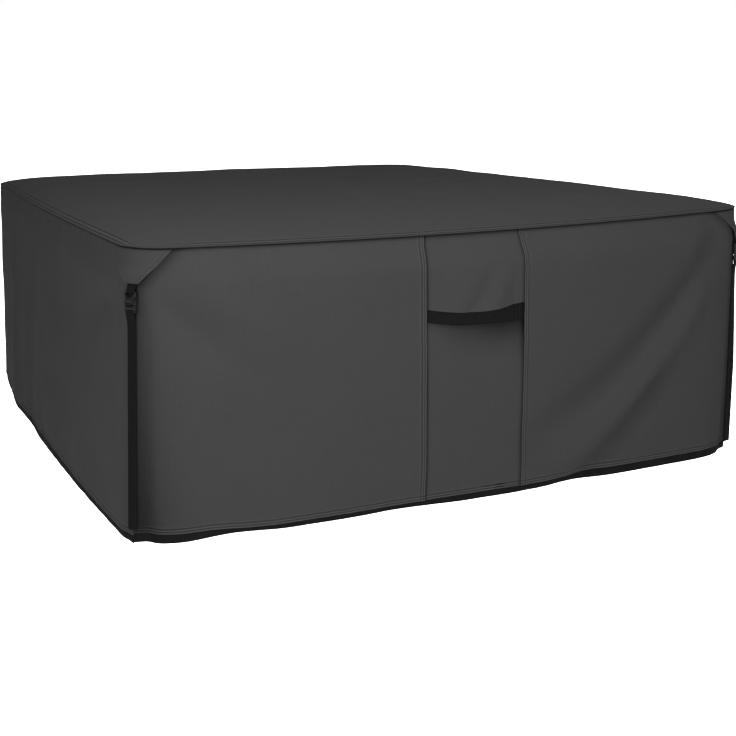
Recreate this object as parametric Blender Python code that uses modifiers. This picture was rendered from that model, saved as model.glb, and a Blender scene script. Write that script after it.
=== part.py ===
"""A fitted patio cover: a shallow crowned lid, four hanging walls with a vent flap and grab handle in
the front, a black hem facing, and a gusset, buckle and strap at each corner.

Metres, +Z up. The origin is the underside of the lid at its centre, and the front faces -Y. Every
sheet lies on one form: the point at a run along a side, so many metres from that side's middle, and
at a drop below the top seam.
"""

from collections import namedtuple

import bmesh
import bpy
import numpy as np
from mathutils import Matrix, Vector

# Driving dimensions
WIDTH = 1.80
DEPTH = 2.30
WALL_DROP = 0.71
CROWN = 0.028

CLOTH = 0.0015
WEBBING = 0.0015
GAP = 0.0005
LAYER = CLOTH + GAP

SEAM_LAP = 0.013
RIM_OVERHANG = 0.002
RIM_DROOP = 0.0015
RIM_BEND = 0.0045
LID_STEPS = (0, RIM_BEND, 0.022, 0.045, 0.080, 0.130, 0.200)
LID_SPACING = 0.30
CROWN_POWER = 14
WALL_TUCK = 0.003
SHOULDER_DROP = 0.055
FRONT_SEAM_SAG = 0.011

# The outline, side by side and corner by corner, each corner at the start of its side.
# A strap line shifted back lies on the side before the corner.
Side = namedtuple("Side", "name heading reach flare bow_at_seam bow_at_hem shoulder")
SIDES = (
    Side("front", (1, 0), DEPTH / 2, 0.037, 0.034, 0.031, 0.018),
    Side("right", (0, 1), WIDTH / 2, 0.037, 0.030, 0.030, 0.008),
    Side("back", (-1, 0), DEPTH / 2, 0.028, 0.033, 0.033, 0.012),
    Side("left", (0, -1), WIDTH / 2, 0.034, 0.023, 0.044, 0.003),
)
FRONT, RIGHT, BACK, LEFT = range(4)

Corner = namedtuple("Corner", "name seam_radius hem_radius rise shift_at_seam shift_at_hem")
CORNERS = (
    Corner("fl", 0.098, 0.133, -0.001, 0.008, 0.030),
    Corner("fr", 0.110, 0.215, 0.002, 0.0, 0.0),
    Corner("br", 0.124, 0.150, -0.003, 0.0, 0.0),
    Corner("bl", 0.098, 0.180, 0.009, 0.0, 0.0),
)

# The hem: how far below the lid's plane the cloth and the black facing inside it hang, at runs along
# each side
Hem = namedtuple("Hem", "run cloth facing")
HEMS = {
    "front": (
        Hem(-0.94, 0.696, 0.720),
        Hem(-0.87, 0.692, 0.716),
        Hem(-0.80, 0.690, 0.713),
        Hem(-0.73, 0.691, 0.710),
        Hem(-0.66, 0.697, 0.707),
        Hem(-0.55, 0.700, 0.714),
        Hem(-0.38, 0.697, 0.711),
        Hem(-0.25, 0.696, 0.708),
        Hem(-0.08, 0.696, 0.715),
        Hem(0.09, 0.698, 0.716),
        Hem(0.20, 0.697, 0.712),
        Hem(0.30, 0.691, 0.711),
        Hem(0.42, 0.688, 0.712),
        Hem(0.66, 0.688, 0.712),
        Hem(0.90, 0.690, 0.713),
    ),
    "right": (
        Hem(-1.15, 0.690, 0.712),
        Hem(-0.45, 0.696, 0.713),
        Hem(0.40, 0.691, 0.711),
        Hem(1.15, 0.692, 0.714),
    ),
    "back": (
        Hem(-0.90, 0.692, 0.714),
        Hem(-0.20, 0.702, 0.718),
        Hem(0.35, 0.711, 0.732),
        Hem(0.90, 0.733, 0.755),
    ),
    "left": (
        Hem(-1.15, 0.733, 0.755),
        Hem(-0.52, 0.738, 0.759),
        Hem(-0.33, 0.727, 0.747),
        Hem(0.22, 0.704, 0.731),
        Hem(0.52, 0.704, 0.723),
        Hem(0.86, 0.704, 0.716),
        Hem(1.03, 0.702, 0.715),
        Hem(1.13, 0.697, 0.719),
    ),
}
HEM_EASE = 0.03
FACING_LAP = 0.014
FACING_EASE = (0.004, 0.04)

# The folds: troughs are below zero, ridges above it. Each runs between two points of its side and
# bows sideways by bend; width and height are given at its start and end.
Fold = namedtuple("Fold", "side run drop to_run to_drop bend width to_width height to_height")
FOLDS = (
    Fold("front", 0.77, 0.07, 0.16, 0.57, 0.049, 0.050, 0.065, -0.010, -0.010),
    Fold("front", 0.70, 0.20, 0.24, 0.64, 0.020, 0.036, 0.050, 0.007, 0.008),
    Fold("front", 0.60, 0.42, 0.24, 0.71, 0.020, 0.040, 0.050, -0.006, -0.007),
    Fold("front", -0.84, 0.12, -0.58, 0.34, 0.010, 0.030, 0.045, -0.007, -0.004),
    Fold("front", -0.76, 0.10, -0.45, 0.30, -0.010, 0.040, 0.055, 0.005, 0.002),
    Fold("front", -0.66, 0.36, -0.70, 0.72, 0.0, 0.050, 0.070, -0.003, -0.005),
    Fold("front", -0.34, 0.22, -0.38, 0.74, 0.0, 0.060, 0.080, 0.002, 0.004),
    Fold("left", 0.99, 0.09, 0.40, 0.04, 0.020, 0.035, 0.050, 0.006, 0.003),
    Fold("left", 1.00, 0.13, 0.28, 0.27, 0.030, 0.040, 0.060, -0.008, -0.004),
    Fold("left", 0.95, 0.25, 0.55, 0.66, 0.020, 0.060, 0.080, 0.006, 0.006),
    Fold("left", -0.05, 0.10, -0.20, 0.76, 0.0, 0.090, 0.120, -0.006, -0.010),
    Fold("left", -0.62, 0.12, -0.55, 0.78, 0.0, 0.080, 0.110, 0.005, 0.008),
    Fold("right", -0.85, 0.09, -0.35, 0.40, 0.030, 0.045, 0.070, -0.008, -0.004),
    Fold("right", 0.30, 0.10, 0.15, 0.74, 0.0, 0.090, 0.120, 0.005, 0.009),
    Fold("right", 0.86, 0.12, 0.55, 0.50, 0.020, 0.050, 0.080, -0.007, -0.004),
    Fold("back", -0.62, 0.09, -0.25, 0.48, 0.020, 0.045, 0.070, -0.007, -0.004),
    Fold("back", 0.15, 0.10, 0.10, 0.74, 0.0, 0.090, 0.110, 0.005, 0.008),
    Fold("back", 0.62, 0.10, 0.35, 0.55, 0.020, 0.045, 0.070, -0.007, -0.004),
)
FOLD_FADE = 0.22
CORNER_FADE = (0.0, 0.07)
CORNER_SHOULDER = 0.003
SHOULDER_FADE = (0.06, 0.22)

# Each corner's cloth creases under its strap and sinks beside it, by so much at the seam and the hem.
Crease = namedtuple("Crease", "offset width to_width height to_height")
CREASES = {
    "fl": (Crease(0.0, 0.012, 0.014, 0.003, 0.009), Crease(0.030, 0.012, 0.022, -0.006, -0.010)),
    "fr": (Crease(0.0, 0.012, 0.014, 0.001, 0.002), Crease(-0.034, 0.014, 0.022, -0.003, -0.006)),
    "br": (Crease(0.0, 0.012, 0.014, 0.001, 0.004), Crease(0.034, 0.014, 0.022, -0.004, -0.008)),
    "bl": (Crease(0.0, 0.012, 0.014, 0.001, 0.004), Crease(-0.034, 0.014, 0.022, -0.004, -0.008)),
}
CREASE_BEGINS = 0.075
CREASE_FULL = 0.16

# The middle panel's two seams, by drop
Seam = namedtuple("Seam", "drop left right")
SEAMS = (
    Seam(0.00, -0.162, 0.111),
    Seam(0.05, -0.162, 0.122),
    Seam(0.30, -0.168, 0.117),
    Seam(0.60, -0.177, 0.108),
    Seam(0.71, -0.180, 0.103),
)

# The flap and the handle under it, which bow out from the panel behind. The heights of the flap's
# folds are shares of that bow.
FLAP_DROP = 0.183
FLAP_DIP = 0.015
FLAP_BOW = 0.022
FLAP_BOW_GROWS = (0.01, 0.24)
FLAP_FOLDS = (
    Fold("front", 0.090, 0.085, 0.065, 0.205, 0.0, 0.018, 0.018, -0.55, -0.35),
    Fold("front", 0.040, 0.070, -0.035, 0.210, 0.0, 0.022, 0.022, -0.45, -0.25),
    Fold("front", 0.060, 0.100, 0.015, 0.212, 0.0, 0.018, 0.018, 0.20, 0.12),
)
HANDLE_WIDTH = 0.038
HANDLE_LAP = 0.006
HANDLE_SIDE_EASE = 0.06
HANDLE_TOP_EASE = (0.16, 0.5)
PANEL_CLOSES_IN = (0.30, 0.37)

# The gussets, which lift off the cloth towards the foot to let the buckle's tab in
GUSSET_TOP = 0.105
GUSSET_FOOT = 0.017
GUSSET_DROP = 0.078
GUSSET_CLEAR = 0.001
GUSSET_LIFT = 0.0049
GUSSET_LIFTS_IN = (0.036, 0.067)

# The buckles: the socket takes the plug's two sprung arms, whose barbs show in its windows
BUCKLE_WIDTH = 0.033
BUCKLE_CORNER = 0.0035
BUCKLE_OUT = 0.0062
BUCKLE_MOUTH = 0.129
SOCKET_HEIGHT = 0.032
SOCKET_THICK = 0.009
PLUG_HEIGHT = 0.0165
PLUG_THICK = 0.008
BAR_THICK = 0.003
SOCKET_BAR = SOCKET_HEIGHT - BAR_THICK / 2
PLUG_BAR = BAR_THICK / 2 - PLUG_HEIGHT
SLOT_HEIGHT = 0.0044
CAVITY = (0.027, 0.0054, 0.024)
WINDOW = (0.009, 0.019)
WINDOW_LIP = 0.0003
ARM_X = (0.0088, 0.0128)
ARM_TIP = 0.0205
ARM_ROOT = 0.002
BARB_X = 0.0154
BARB_ROOT = 0.001
BARB_LIP = 0.0004
GUIDE_WIDTH = 0.005
GUIDE_LIP = 0.0005
SLIP = 0.0004
OVERCUT = 0.002

# The webbing's route down each corner, as drops and heights off the cloth. The tab's drops are below
# the top seam and the strap's below the plug's bar, where its turned-in end lies behind it.
Rest = namedtuple("Rest", "drop height")
TAB_IN_FRONT = (Rest(0.066, 0.0030), Rest(GUSSET_DROP, 0.0032))
TAB_BEHIND = (Rest(GUSSET_DROP, GUSSET_CLEAR), Rest(0.066, GUSSET_CLEAR))
STRAP_BEHIND = (Rest(0.024, GAP), Rest(0.010, 0.0028))
STRAP_IN_FRONT = (Rest(0.010, 0.0062), Rest(0.022, 0.0027), Rest(0.030, 0.0017), Rest(0.046, GAP))
STRAP_WIDTH = 0.025
STRAP_STEADY = 0.086
STRAP_STEPS = 9
STRAP_END_ABOVE_HEM = 0.010
WEB_SLOT = STRAP_WIDTH + 0.0015
LOOP_RADIUS = BAR_THICK / np.sqrt(2) + GAP + WEBBING / 2


def mix(a, b, share):
    return a + (b - a) * share


def smooth(value, low, high):
    """0 below low, 1 above high and an eased rise between them."""
    share = np.clip((value - low) / (high - low), 0, 1)
    return share * share * (3 - 2 * share)


def quarter_length(side, corner, share):
    """From the middle of a side round to halfway about a corner, share of the way down."""
    radius = mix(corner.seam_radius, corner.hem_radius, share)
    return side.reach + side.flare * share - radius + radius * np.pi / 4


def plan(side_no, run, share):
    """x and y of the outline, share of the way down from the seam to the hem."""
    side, before, after = SIDES[side_no], SIDES[side_no - 1], SIDES[(side_no + 1) % 4]
    start, end = CORNERS[side_no], CORNERS[(side_no + 1) % 4]
    back = run < 0
    far = np.where(back, before.reach + before.flare * share, after.reach + after.flare * share)
    radius = np.where(
        back,
        mix(start.seam_radius, start.hem_radius, share),
        mix(end.seam_radius, end.hem_radius, share),
    )
    at_seam = np.where(back, quarter_length(before, start, 0), quarter_length(after, end, 0))
    here = far - radius + radius * np.pi / 4
    length = np.abs(run) * here / at_seam
    turn = np.clip((length - (far - radius)) / radius, 0, np.pi / 2)
    along = np.sign(run) * (np.minimum(length, far - radius) + radius * np.sin(turn))
    out = side.reach + side.flare * share - radius + radius * np.cos(turn)
    hx, hy = side.heading
    x, y = along * hx + out * hy, along * hy - out * hx
    half_x = WIDTH / 2 + SIDES[RIGHT].flare * share
    half_y = DEPTH / 2 + np.where(y < 0, SIDES[FRONT].flare, SIDES[BACK].flare) * share
    bow_x = np.where(x > 0, bow(SIDES[RIGHT], share), bow(SIDES[LEFT], share))
    bow_y = np.where(y > 0, bow(SIDES[BACK], share), bow(SIDES[FRONT], share))
    near_x = np.clip(np.abs(x) / half_x, 0, 1)
    near_y = np.clip(np.abs(y) / half_y, 0, 1)
    return (
        x + np.sign(x) * bow_x * (1 - near_y**2) * near_x**4,
        y + np.sign(y) * bow_y * (1 - near_x**2) * near_y**4,
    )


def bow(side, share):
    return mix(side.bow_at_seam, side.bow_at_hem, share)


def outward(side_no, run, share):
    """The outline's outward direction in the plan."""
    step = 0.001
    x0, y0 = plan(side_no, run - step, share)
    x1, y1 = plan(side_no, run + step, share)
    length = np.hypot(x1 - x0, y1 - y0)
    return (y1 - y0) / length, (x0 - x1) / length


def seam_height(x, y):
    """The top seam's height: it differs a little from corner to corner and sags along the front."""
    u = np.clip((x / WIDTH + 0.5), 0, 1)
    v = np.clip((y / DEPTH + 0.5), 0, 1)
    fl, fr, br, bl = (corner.rise for corner in CORNERS)
    rise = mix(mix(fl, fr, u), mix(bl, br, u), v)
    sag = FRONT_SEAM_SAG * np.clip(1 - (2 * x / WIDTH) ** 2, 0, 1) * np.clip(-2 * y / DEPTH, 0, 1) ** 4
    return rise - sag - CROWN


def strap_shift(corner, drop):
    return mix(corner.shift_at_seam, corner.shift_at_hem, np.clip(drop / WALL_DROP, 0, 1))


def start_run(side_no, drop):
    """Where the corner seam at a side's start lies, as a run of that side."""
    corner = CORNERS[side_no]
    return -quarter_length(SIDES[side_no - 1], corner, 0) - strap_shift(corner, drop)


def end_run(side_no, drop):
    """Where the corner seam at its end lies."""
    corner = CORNERS[(side_no + 1) % 4]
    return quarter_length(SIDES[(side_no + 1) % 4], corner, 0) - strap_shift(corner, drop)


def fold_height(fold, run, drop):
    """One fold's rise or sink, soft across it and fading at both ends."""
    dx, dy = fold.to_run - fold.run, fold.to_drop - fold.drop
    length = np.hypot(dx, dy)
    share = ((run - fold.run) * dx + (drop - fold.drop) * dy) / length**2
    inside = np.clip(share, 0, 1)
    aside = ((drop - fold.drop) * dx - (run - fold.run) * dy) / length
    aside = aside - np.sign(dx or 1) * fold.bend * 4 * inside * (1 - inside)
    beyond = (share - inside) * length
    width = mix(fold.width, fold.to_width, inside)
    fade = smooth(share, -FOLD_FADE, FOLD_FADE) * (1 - smooth(share, 1 - FOLD_FADE, 1 + FOLD_FADE))
    return mix(fold.height, fold.to_height, inside) * np.exp(-(aside**2 + beyond**2) / width**2) * fade


def crease_height(corner, beside, drop):
    grown = smooth(drop, CREASE_BEGINS, CREASE_FULL)
    down = np.clip(drop / WALL_DROP, 0, 1)
    total = 0
    for crease in CREASES[corner.name]:
        width = mix(crease.width, crease.to_width, down)
        height = mix(crease.height, crease.to_height, down)
        total = total + grown * height * np.exp(-(((beside - crease.offset) / width) ** 2))
    return total


def form(side_no, run, drop):
    """The cover's outer surface as an array of points, at runs along a side and drops below the seam."""
    side = SIDES[side_no]
    share = drop / WALL_DROP
    from_start, to_end = run - start_run(side_no, drop), end_run(side_no, drop) - run
    from_corner = np.minimum(from_start, to_end)
    rise = np.sin(np.pi / 2 * np.clip(drop / SHOULDER_DROP, 0, 1))
    shoulder = mix(CORNER_SHOULDER, side.shoulder, smooth(from_corner, *SHOULDER_FADE))
    swell = shoulder * (rise - share) - WALL_TUCK * (1 - rise)
    for fold in FOLDS:
        if fold.side == side.name:
            swell = swell + fold_height(fold, run, drop) * smooth(from_corner, *CORNER_FADE)
    swell = swell + crease_height(CORNERS[side_no], from_start, drop)
    swell = swell + crease_height(CORNERS[(side_no + 1) % 4], -to_end, drop)
    x, y = plan(side_no, run, share)
    nx, ny = outward(side_no, run, share)
    seam_x, seam_y = plan(side_no, run, 0 * share)
    z = seam_height(seam_x, seam_y) - drop
    return np.stack([x + nx * swell, y + ny * swell, z], axis=-1)


def form_at(side_no, run, drop):
    """A point of the form and its outward normal there."""
    step = 0.003
    runs = run + step * np.array([0, -1, 1, 0, 0])
    drops = np.maximum(drop + step * np.array([0, 0, 0, -1, 1]), 0)
    point, before, after, above, below = form(side_no, runs, drops)
    normal = Vector(np.cross(below - above, after - before)).normalized()
    return Vector(point), normal


def hem_drop(side_no, run, column):
    """How far the cloth or its facing hangs at this run, eased between the table's rows."""
    rows = HEMS[SIDES[side_no].name]
    runs = [row.run for row in rows]
    drops = [getattr(row, column) for row in rows]
    window = np.linspace(-HEM_EASE, HEM_EASE, 5)
    below_plane = float(np.mean([np.interp(run + offset, runs, drops) for offset in window]))
    return below_plane + seam_height(*plan(side_no, run, 0.0)) + CROWN


def seam_run(drop, which):
    return np.interp(drop, [row.drop for row in SEAMS], [getattr(row, which) for row in SEAMS])


# Building


def material(name, rgb, roughness):
    """A Principled material in linear colour."""
    made = bpy.data.materials.new(name)
    made.use_nodes = True
    shader = made.node_tree.nodes["Principled BSDF"]
    shader.inputs["Base Color"].default_value = (*rgb, 1)
    shader.inputs["Roughness"].default_value = roughness
    shader.inputs["Metallic"].default_value = 0
    return made


def add_object(name, mesh, finish):
    obj = bpy.data.objects.new(name, mesh)
    mesh.materials.append(finish)
    parts.objects.link(obj)
    return obj


def grid(bm, columns, rows):
    """Adds a grid and returns the column's and row's own value for each of its vertices. Columns run
    left to right and rows from the top down."""
    bmesh.ops.create_grid(bm, x_segments=len(columns) - 1, y_segments=len(rows) - 1, size=1)
    places = {}
    for vert in bm.verts:
        column = round((vert.co.x + 1) / 2 * (len(columns) - 1))
        row = round((1 - vert.co.y) / 2 * (len(rows) - 1))
        places[vert] = columns[column], rows[row]
    return places


def sheet(name, columns, rows, spot, finish, thick=CLOTH):
    """A sheet of cloth on the form. spot(column, row) gives a side, a run and a drop, and how far behind
    the form the sheet's outer face lies there, or in front of it below zero."""
    bm = bmesh.new()
    inward = bm.verts.layers.float_vector.new("inward")
    for vert, place in grid(bm, columns, rows).items():
        side_no, run, drop, behind = spot(*place)
        point, normal = form_at(side_no, run, drop)
        vert.co = point - normal * behind
        vert[inward] = -normal * thick
    backed = bmesh.ops.extrude_face_region(bm, geom=bm.faces[:], use_keep_orig=True)
    for element in backed["geom"]:
        if isinstance(element, bmesh.types.BMVert):
            element.co += element[inward]
    bm.verts.layers.float_vector.remove(inward)
    bmesh.ops.recalc_face_normals(bm, faces=bm.faces)
    mesh = bpy.data.meshes.new(name)
    bm.to_mesh(mesh)
    bm.free()
    return add_object(name, mesh, finish)


def spaced(length, start_steps, end_steps, coarse):
    """Shares of a length: close together at each end where the cloth turns, coarse between."""
    first, last = start_steps[-1], length - end_steps[-1]
    count = max(1, round((last - first) / coarse))
    between_ends = [first + (last - first) * i / count for i in range(1, count)]
    places = list(start_steps) + between_ends + [length - step for step in reversed(end_steps)]
    return [place / length for place in places]


# A wall's rows: drops in the shoulder, shares of the way from there to the hem, and heights above it
SHOULDER_ROWS = [("drop", drop) for drop in (0.0003, 0.012, 0.026, 0.041, SHOULDER_DROP)]
WALL_ROWS = SHOULDER_ROWS + [("share", share / 7) for share in range(1, 7)]
WALL_ROWS += [("above", FACING_LAP + 0.002), ("above", 0)]
FLAP_ROWS = SHOULDER_ROWS + [("share", share) for share in (0.2, 0.4, 0.6, 0.78, 0.9, 1)]
SEWN_CORNER = (0.0, 0.009, 0.019, 0.030, 0.043, 0.064, 0.092, 0.130)
PLAIN_CORNER = (0.0, 0.010, 0.022, 0.040, 0.068, 0.104)
LAPPED_EDGE = (0.0, 0.014)
CORNER_GAP = 0.0003


def drop_of(row, hem):
    kind, value = row
    if kind == "drop":
        return value
    return mix(SHOULDER_DROP, hem, value) if kind == "share" else hem - value


def start_seam(side_no):
    return lambda drop: start_run(side_no, drop) + CORNER_GAP


def end_seam(side_no):
    return lambda drop: end_run(side_no, drop) - CORNER_GAP


def left_seam(drop):
    return seam_run(drop, "left")


def right_seam(drop):
    return seam_run(drop, "right")


def left_lap(drop):
    return left_seam(drop) - SEAM_LAP


def right_lap(drop):
    return right_seam(drop) + SEAM_LAP


def panel(side_no, first, last, behind=lambda drop: 0.0):
    """Sets a share of the way between two seams, each a run for a drop, and a row on a side."""

    def spot(share, row):
        hem = hem_drop(side_no, mix(first(WALL_DROP), last(WALL_DROP), share), "cloth")
        drop = drop_of(row, hem)
        return side_no, mix(first(drop), last(drop), share), drop, behind(drop)

    return spot


def make_walls():
    """The three plain walls; returns each one's columns."""
    columns = {}
    for side_no, start_steps, end_steps, coarse in (
        (RIGHT, SEWN_CORNER, PLAIN_CORNER, 0.15),
        (BACK, PLAIN_CORNER, PLAIN_CORNER, 0.14),
        (LEFT, PLAIN_CORNER, SEWN_CORNER, 0.11),
    ):
        first, last = start_seam(side_no), end_seam(side_no)
        columns[side_no] = spaced(last(0) - first(0), start_steps, end_steps, coarse)
        sheet(f"{SIDES[side_no].name}_wall", columns[side_no], WALL_ROWS, panel(side_no, first, last), cloth)
    return columns


def middle_depth(drop):
    """The middle panel lies three layers behind the flap and handle, and one below them."""
    return LAYER * (3 - 2 * smooth(drop, *PANEL_CLOSES_IN))


def make_front():
    """The front's three panels; returns the columns that the hem facing behind them takes."""
    first, last = start_seam(FRONT), end_seam(FRONT)
    left_columns = spaced(left_seam(0) - first(0), SEWN_CORNER, LAPPED_EDGE, coarse=0.048)
    right_columns = spaced(last(0) - right_seam(0), LAPPED_EDGE, SEWN_CORNER, coarse=0.044)
    middle_columns = [0, 0.045, 0.09, 0.3, 0.5, 0.7, 0.91, 0.955, 1]
    sheet("front_left_panel", left_columns, WALL_ROWS, panel(FRONT, first, left_seam), cloth)
    sheet("front_right_panel", right_columns, WALL_ROWS, panel(FRONT, right_seam, last), cloth)
    middle = panel(FRONT, left_lap, right_lap, middle_depth)
    sheet("middle_panel", middle_columns, WALL_ROWS, middle, cloth)
    return (
        [between(first, left_seam, share) for share in left_columns]
        + [between(left_seam, right_seam, share) for share in (0.25, 0.5, 0.75)]
        + [between(right_seam, last, share) for share in right_columns]
    )


def across_flap(run, drop):
    """-1 at the flap's left seam to 1 at its right seam, and beyond 1 in the laps."""
    left, right = left_seam(drop), right_seam(drop)
    return (2 * run - left - right) / (right - left)


def flap_edge(run):
    """The drop of the flap's lower edge, which dips towards its middle."""
    u = np.clip(across_flap(run, FLAP_DROP), -1, 1)
    return FLAP_DROP + FLAP_DIP * (1 - u * u)


def bowed_out(run, drop):
    """How far the flap stands out from the form: its bow grows downwards and its folds dent it."""
    drop = min(drop, flap_edge(run))
    u = np.clip(across_flap(run, drop), -1, 1)
    bow_here = FLAP_BOW * (1 - u * u) ** 1.5 * smooth(drop, *FLAP_BOW_GROWS)
    dents = sum(fold_height(fold, run, drop) for fold in FLAP_FOLDS)
    return bow_here * (1 + dents)


def flap_spot(share, row):
    run = mix(left_lap(FLAP_DROP), right_lap(FLAP_DROP), share)
    drop = drop_of(row, flap_edge(run))
    run = mix(left_lap(drop), right_lap(drop), share)
    return FRONT, run, drop, LAYER - bowed_out(run, drop)


def handle_spot(share, row):
    run = mix(left_lap(FLAP_DROP), right_lap(FLAP_DROP), share)
    drop = flap_edge(run) - HANDLE_LAP + row * HANDLE_WIDTH
    inside = smooth(1 - np.abs(across_flap(run, drop)), 0, HANDLE_SIDE_EASE)
    return FRONT, run, drop, LAYER * (2 - inside * smooth(row, *HANDLE_TOP_EASE)) - bowed_out(run, drop)


def make_flap_and_handle():
    columns = [0, 0.04, 0.09, 0.16, 0.25, 0.36, 0.48, 0.58, 0.67, 0.75, 0.82, 0.88, 0.94, 1]
    sheet("vent_flap", columns, FLAP_ROWS, flap_spot, cloth)
    sheet("grab_handle", columns, [0, 0.16, 0.33, 0.66, 1], handle_spot, black_webbing, thick=WEBBING)


def between(first, last, share):
    """A line a share of the way between two others."""
    return lambda drop: mix(first(drop), last(drop), share)


def make_hem_facings(lines_of):
    """The black strip inside each side's hem, on the same lines as the cloth in front of it."""
    for side_no, lines in lines_of.items():

        def spot(line, row, side_no=side_no):
            hem = hem_drop(side_no, line(WALL_DROP), "cloth")
            foot = hem_drop(side_no, line(WALL_DROP), "facing")
            drop = {"top": hem - FACING_LAP, "hem": hem, "foot": foot}[row]
            layers = 1 + (side_no == FRONT) * over_middle(line(drop))
            return side_no, line(drop), drop, LAYER * layers

        sheet(f"hem_facing_{SIDES[side_no].name}", lines, ["top", "hem", "foot"], spot, black_facing)


def over_middle(run):
    """1 behind the middle panel, where the facing lies a layer deeper, and 0 away from it."""
    outside = max(left_lap(WALL_DROP) - run, run - right_lap(WALL_DROP))
    return 1 - smooth(outside, *FACING_EASE)


def by_corner(corner_no, beside, drop):
    """A side, run and drop beside a corner's seam: on the side before it where beside is below zero."""
    if beside < 0:
        before = (corner_no - 1) % 4
        return before, end_run(before, drop) + beside, drop
    return corner_no, start_run(corner_no, drop) + beside, drop


def make_gusset(corner_no):
    """A tab of cloth, wide under the lid's edge and little wider than the webbing at its foot."""
    columns = [-1, -0.82, -0.64, -0.46, -0.3, -0.15, 0, 0.15, 0.3, 0.46, 0.64, 0.82, 1]
    rows = [0.003, 0.014, 0.028, 0.042, 0.055, 0.067, GUSSET_DROP]

    def spot(column, drop):
        half = mix(GUSSET_TOP, GUSSET_FOOT, (drop - rows[0]) / (GUSSET_DROP - rows[0]))
        lift = GUSSET_LIFT * smooth(drop, *GUSSET_LIFTS_IN)
        return *by_corner(corner_no, column * half, drop), -(GUSSET_CLEAR + CLOTH + lift)

    sheet(f"corner_gusset_{CORNERS[corner_no].name}", columns, rows, spot, cloth)


def strap_axes(corner_no, drop):
    """A point on the crease under a corner's strap, the way across the strap and the way out of it."""
    half = STRAP_WIDTH / 2
    point = form_at(*by_corner(corner_no, 0, drop))[0]
    left = form_at(*by_corner(corner_no, -half, drop))[0]
    right = form_at(*by_corner(corner_no, half, drop))[0]
    below = form_at(*by_corner(corner_no, 0, drop + half))[0]
    across = (right - left).normalized()
    out = (below - point).cross(across).normalized()
    return point, across, out


def buckle_axes(corner_no):
    """The socket's mouth as an origin, and the buckle's directions across, out and up."""
    point, across, out = strap_axes(corner_no, BUCKLE_MOUTH)
    return point + out * BUCKLE_OUT, across, out, out.cross(across)


def ribbon(name, stations, finish):
    """Webbing through stations, each a centre and the direction across it."""
    bm = bmesh.new()
    for vert, (edge, (centre, across)) in grid(bm, [-1, 1], stations).items():
        vert.co = centre + across * (edge * STRAP_WIDTH / 2)
    mesh = bpy.data.meshes.new(name)
    bm.to_mesh(mesh)
    bm.free()
    obj = add_object(name, mesh, finish)
    wall = obj.modifiers.new("Webbing", "SOLIDIFY")
    wall.thickness = WEBBING
    wall.offset = 0
    wall.use_even_offset = True


def turn_about(bar, below):
    """The turn that webbing makes about a bar, as distances out and up in the buckle's directions."""
    sign = -1 if below else 1
    angles = np.linspace(0, np.pi, 7)
    return [(LOOP_RADIUS * np.cos(a), bar + sign * LOOP_RADIUS * np.sin(a)) for a in angles]


def make_webbing(corner_no):
    """The tab between gusset and buckle and the strap below it, each turned about the buckle's bar."""
    corner = CORNERS[corner_no]
    origin, across, out, up = buckle_axes(corner_no)

    def about_bar(bar, below):
        return [(origin + out * o + up * u, across) for o, u in turn_about(bar, below)]

    def on_wall(rests, start=0.0):
        stations = []
        for drop, height in rests:
            point, local_across, local_out = strap_axes(corner_no, start + drop)
            stations.append((point + local_out * (height + WEBBING / 2), local_across))
        return stations

    tab = on_wall(TAB_IN_FRONT) + about_bar(SOCKET_BAR, below=True) + on_wall(TAB_BEHIND)
    ribbon(f"buckle_tab_{corner.name}", tab, black_webbing)

    bar_drop = BUCKLE_MOUTH - PLUG_BAR
    hem = hem_drop(corner_no, start_run(corner_no, WALL_DROP), "cloth")
    strap = on_wall(STRAP_BEHIND, bar_drop) + about_bar(PLUG_BAR, below=False)[::-1]
    strap += on_wall(STRAP_IN_FRONT, bar_drop)
    steady = np.linspace(bar_drop + STRAP_STEADY, hem - STRAP_END_ABOVE_HEM, STRAP_STEPS)
    strap += on_wall([Rest(drop, GAP) for drop in steady])
    ribbon(f"corner_strap_{corner.name}", strap, black_webbing)


def block(name, size, centre):
    """A box as an object with no collection of its own yet."""
    bm = bmesh.new()
    bmesh.ops.create_cube(bm, size=1, matrix=Matrix.Translation(centre) @ Matrix.Diagonal((*size, 1)))
    mesh = bpy.data.meshes.new(name)
    bm.to_mesh(mesh)
    bm.free()
    return bpy.data.objects.new(name, mesh)


def as_cutter(obj):
    cutters.objects.link(obj)
    obj.hide_render = True
    obj.display_type = "WIRE"
    return obj


def combine(obj, other, operation):
    step = obj.modifiers.new(operation.title(), "BOOLEAN")
    step.operation = operation
    step.solver = "EXACT"
    step.object = as_cutter(other)


def cut(obj, name, size, centre):
    combine(obj, block(name, size, centre), "DIFFERENCE")


def join(obj, name, size, centre):
    combine(obj, block(name, size, centre), "UNION")


def rounded(obj, width):
    """Rounds the four long corners of a box that is seen from its face."""
    weights = obj.data.attributes.new("bevel_weight_edge", "FLOAT", "EDGE")
    for edge in obj.data.edges:
        a, b = (obj.data.vertices[i].co for i in edge.vertices)
        weights.data[edge.index].value = float(abs((a - b).normalized().y) > 0.9)
    bevel = obj.modifiers.new("Corners", "BEVEL")
    bevel.limit_method = "WEIGHT"
    bevel.width = width
    bevel.segments = 2


def baked(obj):
    """The mesh after its modifiers, which the four copies of a buckle half share."""
    cutters.objects.link(obj)
    bpy.context.view_layer.update()
    evaluated = obj.evaluated_get(bpy.context.evaluated_depsgraph_get())
    mesh = bpy.data.meshes.new_from_object(evaluated)
    bpy.data.objects.remove(obj)
    return mesh


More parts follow.
